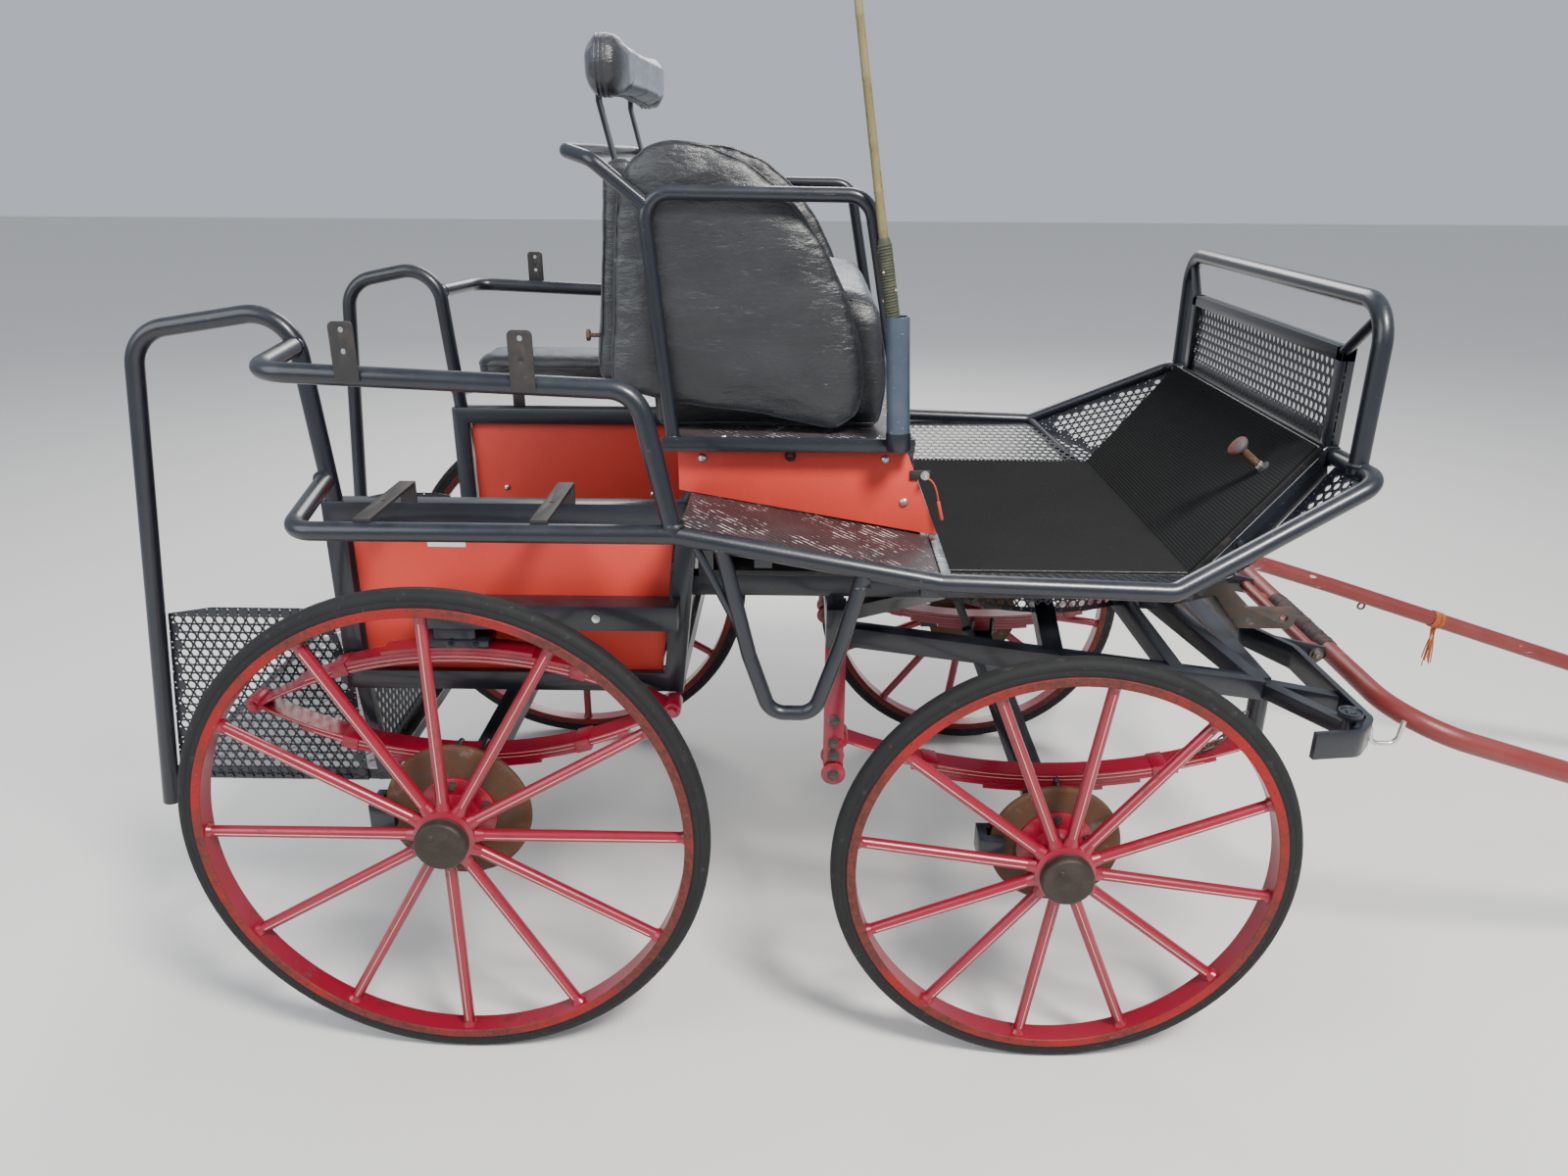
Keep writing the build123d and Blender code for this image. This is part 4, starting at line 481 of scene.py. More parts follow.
def cane(tints):
    """Varnished cane, olive with darker rings and flecks."""
    stick = Finish("cane", tints.cane, 0.40, coat=0.2)
    stick.mottle((18, 4, 0.6, (1, 1, 0.7)), 0.42, 0.7, (0.24, 0.20, 0.09), 0.45, 0.7)
    stick.mottle((160, 4, 0.7, (1, 1, 0.35)), 0.58, 0.66, (0.07, 0.055, 0.025), 0.55, 0.7)
    stick.relief(stick.noise(230, 3, 0.6, (1, 1, 0.3)), 0.0005)
    return stick.done()


def wound_grip(tints):
    """Dark green thread wound round the whip's grip."""
    thread = Finish("wound_grip", (0.042, 0.045, 0.026), 0.7)
    thread.mottle((60, 4), 0.5, 0.7, (0.10, 0.10, 0.065), 0.8, 0.6)
    thread.relief(thread.noise(700, 2), 0.0003)
    return thread.done()


def socket_paint(tints):
    """Blue-grey paint on the whip's socket."""
    paint = Finish("socket_paint", (0.040, 0.058, 0.085), 0.34, coat=0.3)
    paint.mottle((12, 5), 0.45, 0.7, (0.075, 0.095, 0.125), 0.45, 0.7)
    paint.mottle((120, 4, 0.7), 0.66, 0.69, (0.45, 0.46, 0.46), 0.5, 0.8)
    paint.relief(paint.noise(240, 2), 0.0002)
    return paint.done()


def black_tape_and_hole_shade(tints):
    """Worn black tape wound on the shafts' cross tube, also used as painted shade for the hole round the
    brake pedal's stem.
    """
    tape = Finish("black_tape_and_hole_shade", (0.018, 0.013, 0.012), 0.62)
    tape.mottle((40, 6, 0.75), 0.50, 0.60, (0.095, 0.035, 0.030), 0.7, 0.7)
    tape.relief(tape.noise(90, 6, 0.7), 0.0016)
    return tape.done()


def orange_cord(tints):
    """Faded orange webbing."""
    cord = Finish("orange_cord", (0.52, 0.125, 0.030), 0.8)
    cord.mottle((90, 4), 0.5, 0.7, (0.30, 0.075, 0.03), 0.85, 0.7)
    cord.relief(cord.bands(420, "Z", 2.0), 0.0006)
    return cord.done()


def greased_iron(tints):
    """Nearly black greasy iron of the turntable."""
    iron = Finish("greased_iron", (0.012, 0.012, 0.014), 0.38, metal=0.2)
    iron.mottle((25, 6, 0.7), 0.45, 0.65, (0.045, 0.032, 0.024), 0.7, 0.9)
    iron.relief(iron.noise(90, 5, 0.7), 0.001)
    return iron.done()


MAKERS = (frame_paint, worn_paint, panel_paint, wheel_paint, rim_paint, shaft_paint, tyre_rubber,
          mat_rubber, vinyl, dark_board, rusty_iron, bare_steel, worn_steel, tread_plate, cap_iron,
          dull_iron, black_board, clay_paint, bright_steel, pale_paint, plate_white, cane, wound_grip,
          socket_paint, black_tape_and_hole_shade, orange_cord, greased_iron)


# Shaping

def turned(origin, along, across=None):
    """A matrix that stands at origin with its Z along a direction."""
    z = along.normalized()
    x = across.normalized() if across is not None else z.orthogonal().normalized()
    y = z.cross(x).normalized()
    x = y.cross(z)
    return Matrix.Translation(origin) @ Matrix((x, y, z)).transposed().to_4x4()


def lathe(part, profile, centre, axis, steps=48, closed=True):
    """Spin a profile of (radius, distance along the axis) points round the axis."""
    axis = axis.normalized()
    out = axis.orthogonal().normalized()
    verts = [part.verts.new(centre + out * radius + axis * along) for radius, along in profile]
    ring = zip(verts, verts[1:] + verts[:1]) if closed else zip(verts, verts[1:])
    edges = [part.edges.new(pair) for pair in ring]
    bmesh.ops.spin(part, geom=verts + edges, cent=centre, axis=axis, dvec=(0, 0, 0), angle=math.tau,
                   steps=steps, use_merge=True, use_duplicate=False)


def rod(part, start, end, radius, tip=None, segments=16):
    """A round bar between two points."""
    along = end - start
    place = turned((start + end) / 2, along)
    bmesh.ops.create_cone(part, cap_ends=True, segments=segments, radius1=radius,
                          radius2=radius if tip is None else tip, depth=along.length, matrix=place)


def block(part, low, high, bevel=0.0, matrix=Matrix()):
    """A box between two corners, its edges rounded off."""
    centre = (low + high) / 2
    extent = high - low
    place = matrix @ Matrix.Translation(centre) @ Matrix.Diagonal((*extent, 1.0))
    made = bmesh.ops.create_cube(part, size=1.0, matrix=place)
    if bevel:
        edges = list({edge for vert in made["verts"] for edge in vert.link_edges})
        bmesh.ops.bevel(part, geom=edges, offset=bevel, segments=2, profile=0.5, affect="EDGES",
                        material=-1)


def side_block(part, side, x, y, z, bevel=0.0):
    """A box on one side of the carriage, from its ranges in millimetres ahead, outward and up."""
    low, high = sorted((side * y[0], side * y[1]))
    block(part, spot(x[0], low, z[0]), spot(x[1], high, z[1]), bevel)


def pushed(part, corners, way):
    """A solid from the outline of one face, pushed out along a way."""
    face = part.faces.new([part.verts.new(corner) for corner in corners])
    grown = bmesh.ops.extrude_face_region(part, geom=[face], use_keep_orig=True)
    moved = [item for item in grown["geom"] if isinstance(item, bmesh.types.BMVert)]
    bmesh.ops.translate(part, verts=moved, vec=way)


def dome_head(part, at, out, radius=0.009):
    """A cup-headed bolt standing on a surface."""
    profile = ((0.0, 0.0), (radius, 0.0), (radius * 0.96, radius * 0.22), (radius * 0.7, radius * 0.48),
               (radius * 0.36, radius * 0.62), (0.0, radius * 0.66))
    lathe(part, profile, at, out, 14)


def hex_head(part, at, out, radius=0.0085, depth=0.006):
    """A hexagon head on a washer, with a little of the thread showing."""
    rod(part, at, at + out * 0.0016, radius * 1.35, segments=16)
    rod(part, at + out * 0.0012, at + out * (0.0012 + depth), radius, segments=6)
    rod(part, at + out * depth, at + out * (depth + 0.004), radius * 0.55, segments=10)


def drawn_tube(part, points, radius, sides=12, cyclic=False):
    """A round section drawn along a smooth line through a few control points."""
    curve = bpy.data.curves.new("drawn", "CURVE")
    curve.dimensions = "3D"
    curve.bevel_depth = radius
    curve.bevel_resolution = max(1, sides // 4 - 1)
    curve.use_fill_caps = True
    line = curve.splines.new("NURBS")
    line.points.add(len(points) - 1)
    for point, place in zip(line.points, points):
        point.co = (*place, 1.0)
    line.order_u = 3
    line.use_endpoint_u = not cyclic
    line.use_cyclic_u = cyclic
    line.resolution_u = 6
    holder = bpy.data.objects.new("drawn", curve)
    mesh = bpy.data.meshes.new_from_object(holder)
    part.from_mesh(mesh)
    bpy.data.objects.remove(holder)
    bpy.data.curves.remove(curve)
    bpy.data.meshes.remove(mesh)


def weld_ring(part, at, along, radius, bead, seed):
    """A rippled weld bead round a tube."""
    dice = random.Random(seed)
    profile = [(radius - bead * 0.3 + bead * 0.8 * math.cos(turn), bead * math.sin(turn))
               for turn in (math.tau * step / 6 for step in range(6))]
    before = set(part.verts)
    lathe(part, profile, at, along, 28)
    for vert in set(part.verts) - before:
        vert.co += (vert.co - at) * dice.uniform(-0.02, 0.03)


class Piece:
    """One object under construction, made of shells that each carry their finish."""

    def __init__(self, name):
        self.name = name
        self.mesh = bmesh.new()
        self.finishes = []

    def index(self, finish):
        if finish not in self.finishes:
            self.finishes.append(finish)
        return self.finishes.index(finish)

    @contextmanager
    def shell(self, finish, second=None, recalc=True, merge=1e-5):
        """A fresh mesh to shape. Faces given material index 1 in it get the second finish."""
        part = bmesh.new()
        yield part
        if merge:
            bmesh.ops.remove_doubles(part, verts=part.verts, dist=merge)
        if recalc:
            bmesh.ops.recalc_face_normals(part, faces=part.faces)
        first = self.index(finish)
        other = self.index(second) if second else first
        for face in part.faces:
            face.material_index = other if face.material_index == 1 else first
            face.smooth = True
        mesh = bpy.data.meshes.new("shell")
        part.to_mesh(mesh)
        part.free()
        self.mesh.from_mesh(mesh)
        bpy.data.meshes.remove(mesh)

    def node(self, name, finish, bevel=0.0, trim=None):
        """A joined up copy of a frame node, trimmed and with its sharp edges eased."""
        with self.shell(finish, recalc=False) as part:
            part.from_mesh(frame["nodes"][name].data)
            bmesh.ops.remove_doubles(part, verts=part.verts, dist=2e-5)
            if trim:
                trim(part)
            if bevel:
                bmesh.ops.dissolve_limit(part, angle_limit=math.radians(1.5), verts=part.verts,
                                         edges=part.edges)
                sharp = [edge for edge in part.edges if len(edge.link_faces) == 2
                         and edge.calc_face_angle(0.0) > math.radians(50)]
                bmesh.ops.bevel(part, geom=sharp, offset=bevel, segments=2, profile=0.5, affect="EDGES",
                                material=-1, clamp_overlap=True)

    def place(self, body, slot, *replaced, crease=38.0):
        limit = math.radians(crease)
        for edge in self.mesh.edges:
            if len(edge.link_faces) == 2 and edge.calc_face_angle(0.0) > limit:
                edge.smooth = False
        mesh = bpy.data.meshes.new(self.name)
        self.mesh.to_mesh(mesh)
        self.mesh.free()
        for finish in self.finishes:
            mesh.materials.append(FINISHES[finish])
        made = bpy.data.objects.new(self.name, mesh)
        bpy.context.scene.collection.objects.link(made)
        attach(made, body)
        if replaced:
            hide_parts(*replaced)
        return made


def skin(node, finish, body, slot, bevel=0.0, trim=None):
    """Stand a smooth copy in for one frame node."""
    piece = Piece(f"{node}_skin")
    piece.node(node, finish, bevel, trim)
    return piece.place(body, slot, node)


def perforate(part, corners, settings, edges, thick):
    """A convex sheet with staggered round holes, kept whole and clear of each of its edges."""
    across = (corners[1] - corners[0]).normalized()
    normal = across.cross(corners[-1] - corners[0]).normalized()
    frame_of_sheet = turned(corners[0], normal, across)
    flat = [frame_of_sheet.inverted() @ corner for corner in corners]
    pitch = settings.pitch
    cell = bmesh.new()
    rim = bmesh.ops.create_circle(cell, segments=6, radius=pitch / math.sqrt(3))["verts"]
    bmesh.ops.rotate(cell, verts=rim, cent=(0, 0, 0), matrix=Matrix.Rotation(math.radians(30), 3, "Z"))
    plain = bpy.data.meshes.new("plain_cell")
    solid = cell.copy()
    solid.faces.new(solid.verts)
    solid.to_mesh(plain)
    solid.free()
    bmesh.ops.subdivide_edges(cell, edges=cell.edges, cuts=1)
    bmesh.ops.create_circle(cell, segments=12, radius=settings.hole / 2)
    bmesh.ops.bridge_loops(cell, edges=cell.edges)
    holed = bpy.data.meshes.new("holed_cell")
    cell.to_mesh(holed)
    cell.free()

    if isinstance(edges, float):
        edges = [edges] * len(flat)

    def inside(point, grow):
        for first, second, margin in zip(flat, flat[1:] + flat[:1], edges):
            run = second - first
            least = grow if grow < 0 else margin + grow
            if Vector((-run.y, run.x, 0)).normalized().dot(point - first) < least:
                return False
        return True

    low_x, high_x = min(p.x for p in flat), max(p.x for p in flat)
    low_y, high_y = min(p.y for p in flat), max(p.y for p in flat)
    rows = int((high_y - low_y) / (pitch * 0.866)) + 2
    columns = int((high_x - low_x) / pitch) + 2
    for row in range(-1, rows):
        for column in range(-1, columns):
            centre = Vector((low_x + (column + 0.5 * (row % 2)) * pitch,
                             low_y + row * pitch * math.sqrt(0.75), 0))
            if not inside(centre, -pitch):
                continue
            mesh = holed if inside(centre, settings.hole / 2) else plain
            mesh.transform(Matrix.Translation(centre))
            part.from_mesh(mesh)
            mesh.transform(Matrix.Translation(-centre))
    bpy.data.meshes.remove(plain)
    bpy.data.meshes.remove(holed)
    bmesh.ops.remove_doubles(part, verts=part.verts, dist=pitch * 0.01)
    for first, second in zip(flat, flat[1:] + flat[:1]):
        run = second - first
        geometry = part.verts[:] + part.edges[:] + part.faces[:]
        bmesh.ops.bisect_plane(part, geom=geometry, plane_co=first, plane_no=Vector((run.y, -run.x, 0)),
                               clear_outer=True)
    bmesh.ops.recalc_face_normals(part, faces=part.faces)
    bmesh.ops.solidify(part, geom=part.faces[:], thickness=thick)
    bmesh.ops.transform(part, matrix=frame_of_sheet, verts=part.verts)


# Upholstery

def puffed(part, voxel, pressure, cap):
    """Blow a closed form up like a stuffed cover and take the shape it settles in."""
    frames = 20
    mesh = bpy.data.meshes.new("stuffing")
    part.to_mesh(mesh)
    form = bpy.data.objects.new("stuffing", mesh)
    scene = bpy.context.scene
    scene.collection.objects.link(form)
    remesh = form.modifiers.new("even", "REMESH")
    remesh.mode = "VOXEL"
    remesh.voxel_size = voxel
    even = bpy.data.meshes.new_from_object(form.evaluated_get(bpy.context.evaluated_depsgraph_get()))
    form.modifiers.clear()
    form.data = even
    start = [vert.co.copy() for vert in even.vertices]
    cloth = form.modifiers.new("stuffed", "CLOTH")
    cloth.settings.use_pressure = True
    cloth.settings.uniform_pressure_force = pressure
    cloth.settings.tension_stiffness = 12
    cloth.settings.compression_stiffness = 8
    cloth.settings.effector_weights.gravity = 0.0
    cloth.collision_settings.use_collision = False
    cloth.point_cache.frame_start = 1
    cloth.point_cache.frame_end = frames
    for step in range(1, frames + 1):
        scene.frame_set(step)
    settled = bpy.data.meshes.new_from_object(form.evaluated_get(bpy.context.evaluated_depsgraph_get()))
    form.modifiers.clear()
    form.data = settled
    for vert, home in zip(settled.vertices, start):
        move = vert.co - home
        if move.length > cap:
            vert.co = home + move.normalized() * cap
    scene.frame_set(1)
    part.clear()
    part.from_mesh(form.data)
    bpy.data.objects.remove(form)
    for _ in range(3):
        bmesh.ops.smooth_vert(part, verts=part.verts, factor=0.5, use_axis_x=True, use_axis_y=True,
                              use_axis_z=True)


def rippled(part, depth, scale, seed):
    """Press shallow creases into a cover, along the way its cloth pulls."""
    shift = Vector((seed * 3.1, seed * 7.7, seed * 1.3))
    part.normal_update()
    for vert in part.verts:
        spread = Vector((vert.co.x * scale.x, vert.co.y * scale.y, vert.co.z * scale.z)) + shift
        vert.co += vert.normal * (noise.fractal(spread, 1.0, 2.0, 4) * depth)


def snapped(part, points, lift):
    """Points moved onto a cover, so that its piping lies on it."""
    tree = BVHTree.FromBMesh(part)
    laid = []
    for point in points:
        near, normal, _, _ = tree.find_nearest(point)
        laid.append(near + normal * lift)
    return laid


def outline_points(corners, spacing):
    """Points along a closed outline, about evenly spaced."""
    laid = []
    for first, second in zip(corners, corners[1:] + corners[:1]):
        count = max(1, round((second - first).length / spacing))
        laid += [first.lerp(second, step / count) for step in range(count)]
    return laid


def upholster(name, corners, thick, node, settings, seed, seams, inset=0.006, voxel=0.009, pressure=4.0,
              cap=0.010, creases=Vector((14, 14, 34)), depth=0.0022):
    """A stuffed cushion from the outline of one face, with piping along its seams."""
    piece = Piece(name)
    middle = sum(corners, Vector()) / len(corners)
    side_way = thick.normalized()
    shrink = inset / max((corner - middle).length for corner in corners)
    inner = [corner.lerp(middle, shrink) + side_way * inset * 0.5 for corner in corners]
    with piece.shell("vinyl", merge=0) as part:
        depth_inside = thick.length - inset
        pushed(part, inner, side_way * depth_inside)
        bmesh.ops.recalc_face_normals(part, faces=part.faces)
        puffed(part, voxel, pressure, cap)
        rippled(part, depth, creases, seed)
        lines = []
        for share in seams:
            rim = [corner + side_way * depth_inside * share for corner in inner]
            lines.append(snapped(part, outline_points(rim, 0.03), settings.piping * 0.12))
    with piece.shell("vinyl", recalc=False) as part:
        for line in lines:
            drawn_tube(part, line, settings.piping / 2, 10, cyclic=True)
    made = piece.place("body", "vinyl", node, crease=70)
    return made


# Operators

class CARRIAGE_OT_finishes(bpy.types.Operator):
    """Mix the carriage's paints, rubber, vinyl, boards and metals"""
    bl_idname = "carriage.finishes"
    bl_label = "Finishes"

    def execute(self, context):
        for maker in MAKERS:
            FINISHES[maker.__name__] = maker(context.scene.carriage_colours)
        return {"FINISHED"}


class CARRIAGE_OT_stage(bpy.types.Operator):
    """Lay the studio floor, hang the lights and stand the camera where the picture was taken"""
    bl_idname = "carriage.stage"
    bl_label = "Stage"

    def execute(self, context):
        scene = context.scene
        tint = scene.carriage_colours.floor
        plain = Finish("studio_floor", tint, 0.75)
        plain.mottle((2.0, 3), 0.3, 0.8, tuple(value * 0.96 for value in tint), 0.8, 0.5)
        mesh = bpy.data.meshes.new("studio_floor")
        ground = bmesh.new()
        bmesh.ops.create_grid(ground, x_segments=4, y_segments=4, size=30.0)
        bmesh.ops.translate(ground, verts=ground.verts, vec=(0, 0, -0.0005))
        ground.to_mesh(mesh)
        ground.free()
        mesh.materials.append(plain.done())
        floor = bpy.data.objects.new("studio_floor", mesh)
        scene.collection.objects.link(floor)

        world = bpy.data.worlds.new("studio")
        scene.world = world
        world.use_nodes = True
        back = world.node_tree.nodes["Background"]
        back.inputs["Color"].default_value = (0.84, 0.90, 1.0, 1.0)
        back.inputs["Strength"].default_value = 0.62
        lamps = (
            # name, place, size, watts, tint
            ("key", (1.2, -3.6, 5.6), 1.5, 640, (1.0, 0.97, 0.92)),
            ("fill", (-4.6, -3.0, 3.4), 4.0, 150, (0.92, 0.96, 1.0)),
            ("back", (-1.0, 5.0, 4.6), 3.5, 260, (1.0, 0.98, 0.94)),
        )
        for name, place, width, watts, tint in lamps:
            lamp = bpy.data.lights.new(name, "AREA")
            lamp.shape = "DISK"
            lamp.size = width
            lamp.energy = watts
            lamp.color = tint
            made = bpy.data.objects.new(name, lamp)
            made.location = place
            aim = Vector((-0.7, 0.0, 0.7)) - Vector(place)
            made.rotation_mode = "QUATERNION"
            made.rotation_quaternion = aim.to_track_quat("-Z", "Y")
            scene.collection.objects.link(made)

        camera = bpy.data.cameras.new("camera")
        camera.sensor_width = 36.0
        camera.lens = 25.417
        camera.clip_start = 0.05
        holder = bpy.data.objects.new("camera", camera)
        right = Vector((0.99982797, 0.01789561, 0.00487661))
        down = Vector((0.01105541, -0.36385962, -0.93138819))
        ahead = Vector((-0.01489336, 0.93128187, -0.36399487))
        place = Matrix((right, -down, -ahead)).transposed().to_4x4()
        holder.matrix_world = Matrix.Translation((AXLE_X + 0.66391, -2.43201, 1.69859)) @ place
        scene.collection.objects.link(holder)
        scene.camera = holder
        return {"FINISHED"}


SMOOTH_NODES = (
    # node, finish, body, slot, eased edge
    ("rear_frame", "frame_paint", "body", "black_paint", 0.0015),
    ("handles", "frame_paint", "body", "black_paint", 0.0),
    ("upper_rails", "frame_paint", "body", "black_paint", 0.0),
    ("side_rails", "frame_paint", "body", "black_paint", 0.0),
    ("head_bar", "frame_paint", "body", "black_paint", 0.001),
    ("seat_legs", "frame_paint", "body", "black_paint", 0.001),
    ("outriggers", "frame_paint", "body", "black_paint", 0.0),
    ("step_frame", "frame_paint", "body", "black_paint", 0.0012),
    ("step_loops", "frame_paint", "body", "black_paint", 0.0),
    ("dash_hoop", "frame_paint", "body", "black_paint", 0.0),
    ("seat_riser", "frame_paint", "body", "black_paint", 0.0),
    ("arm_rail", "frame_paint", "body", "black_paint", 0.0),
    ("back_bars", "frame_paint", "body", "black_paint", 0.0008),
    ("cushion_brackets", "dull_iron", "body", "black_paint", 0.0008),
    ("rear_axle", "frame_paint", "body", "black_paint", 0.001),
    ("footboard", "black_board", "body", "board", 0.001),
    ("rear_floor", "dark_board", "body", "board", 0.001),
    ("fore_frame", "frame_paint", "fore_carriage", "black_paint", 0.0012),
    ("front_axle", "frame_paint", "fore_carriage", "black_paint", 0.001),
    ("pole_lugs", "worn_steel", "fore_carriage", "rusty_iron", 0.001),
    ("trace_hooks", "bright_steel", "fore_carriage", "bare_steel", 0.0),
    ("shafts", "shaft_paint", "shafts", "shaft_red", 0.0),
)


class CARRIAGE_OT_frame_skins(bpy.types.Operator):
    """Smooth and paint the tubes, bars, boards and plates of the frame"""
    bl_idname = "carriage.frame_skins"
    bl_label = "Frame"

    def execute(self, context):
        for node, finish, body, slot, eased in SMOOTH_NODES:
            skin(node, finish, body, slot, eased)
        skin("turntable_ring", "greased_iron", "body", "black_paint", trim=self.free_ring)
        piece = Piece("running_boards_skin")
        piece.node("running_boards", "dark_board", 0.001)
        with piece.shell("worn_paint") as part:
            for side in BOTH:
                side_block(part, side, (906, 923.5), (424.5, 652), (1024.9, 1028.6), 0.001)
        piece.place("body", "board", "running_boards")
        skin("rail_plates", "dull_iron", "body", "bare_steel", 0.0006, self.round_corners)
        piece = Piece("floor_frame_skin")
        piece.node("floor_frame", "frame_paint", 0.0012, trim=self.lift_cheeks)
        with piece.shell("frame_paint") as part:
            for side in BOTH:
                out = Vector((0, side, 0))
                profile = ((0.0, 0.0105), (0.0065, 0.009), (0.0085, 0.006), (0.0090, 0.002),
                           (0.0125, 0.0015), (0.0130, 0.0), (0.0, 0.0))
                lathe(part, profile, spot(1500, side * 421, 1012), out, 20)
        with piece.shell("bare_steel") as part:
            for side in BOTH:
                edge = Vector((0, side * 0.4215, 0))
                start, end = (BOARD_KNEE + BOARD_RISE * run - BOARD_OUT * 0.0145 + edge
                              for run in (0.010, 0.312))
                rod(part, start, end, 0.0009, segments=6)
        piece.place("body", "black_paint", "floor_frame")
        return {"FINISHED"}

    @staticmethod
    def free_ring(part):
        """Keep the ring's bore and underside clear of the pin and the plate that turn against them."""
        pin = spot(KING_PIN_X, 0, 0)
        for vert in part.verts:
            arm = Vector((vert.co.x - pin.x, vert.co.y, 0))
            if arm.length < 0.035:
                vert.co += arm.normalized() * 0.0012
            vert.co.z = max(vert.co.z, 0.8606)

    @staticmethod
    def round_corners(part):
        """Round the upper corners of the plates on the rails."""
        corners = []
        for edge in part.edges:
            first, second = (vert.co for vert in edge.verts)
            level = abs(first.x - second.x) < 1e-4 and abs(first.z - second.z) < 1e-4
            if level and len(edge.link_faces) == 2 and edge.calc_face_angle() > 1.2 and first.z > 1.420:
                corners.append(edge)
        bmesh.ops.bevel(part, geom=corners, offset=0.009, segments=5, affect="EDGES", profile=0.5)

    @staticmethod
    def lift_cheeks(part):
        """End the footboard's side plates at the wings' inner fold and at the rail's cross tube."""
        for vert in part.verts:
            run, depth = BOARD_RISE.dot(vert.co - BOARD_KNEE), BOARD_OUT.dot(vert.co - BOARD_KNEE)
            if abs(vert.co.y) < 0.4165 or depth > -0.001:
                continue
            if depth < -0.100:
                lift = 0.04 * run - 0.063 - depth
                vert.co += BOARD_OUT * lift
                depth += lift
            if run > 0.270:
                vert.co += BOARD_RISE * (0.335 + 0.9 * (depth + 0.015) - run)


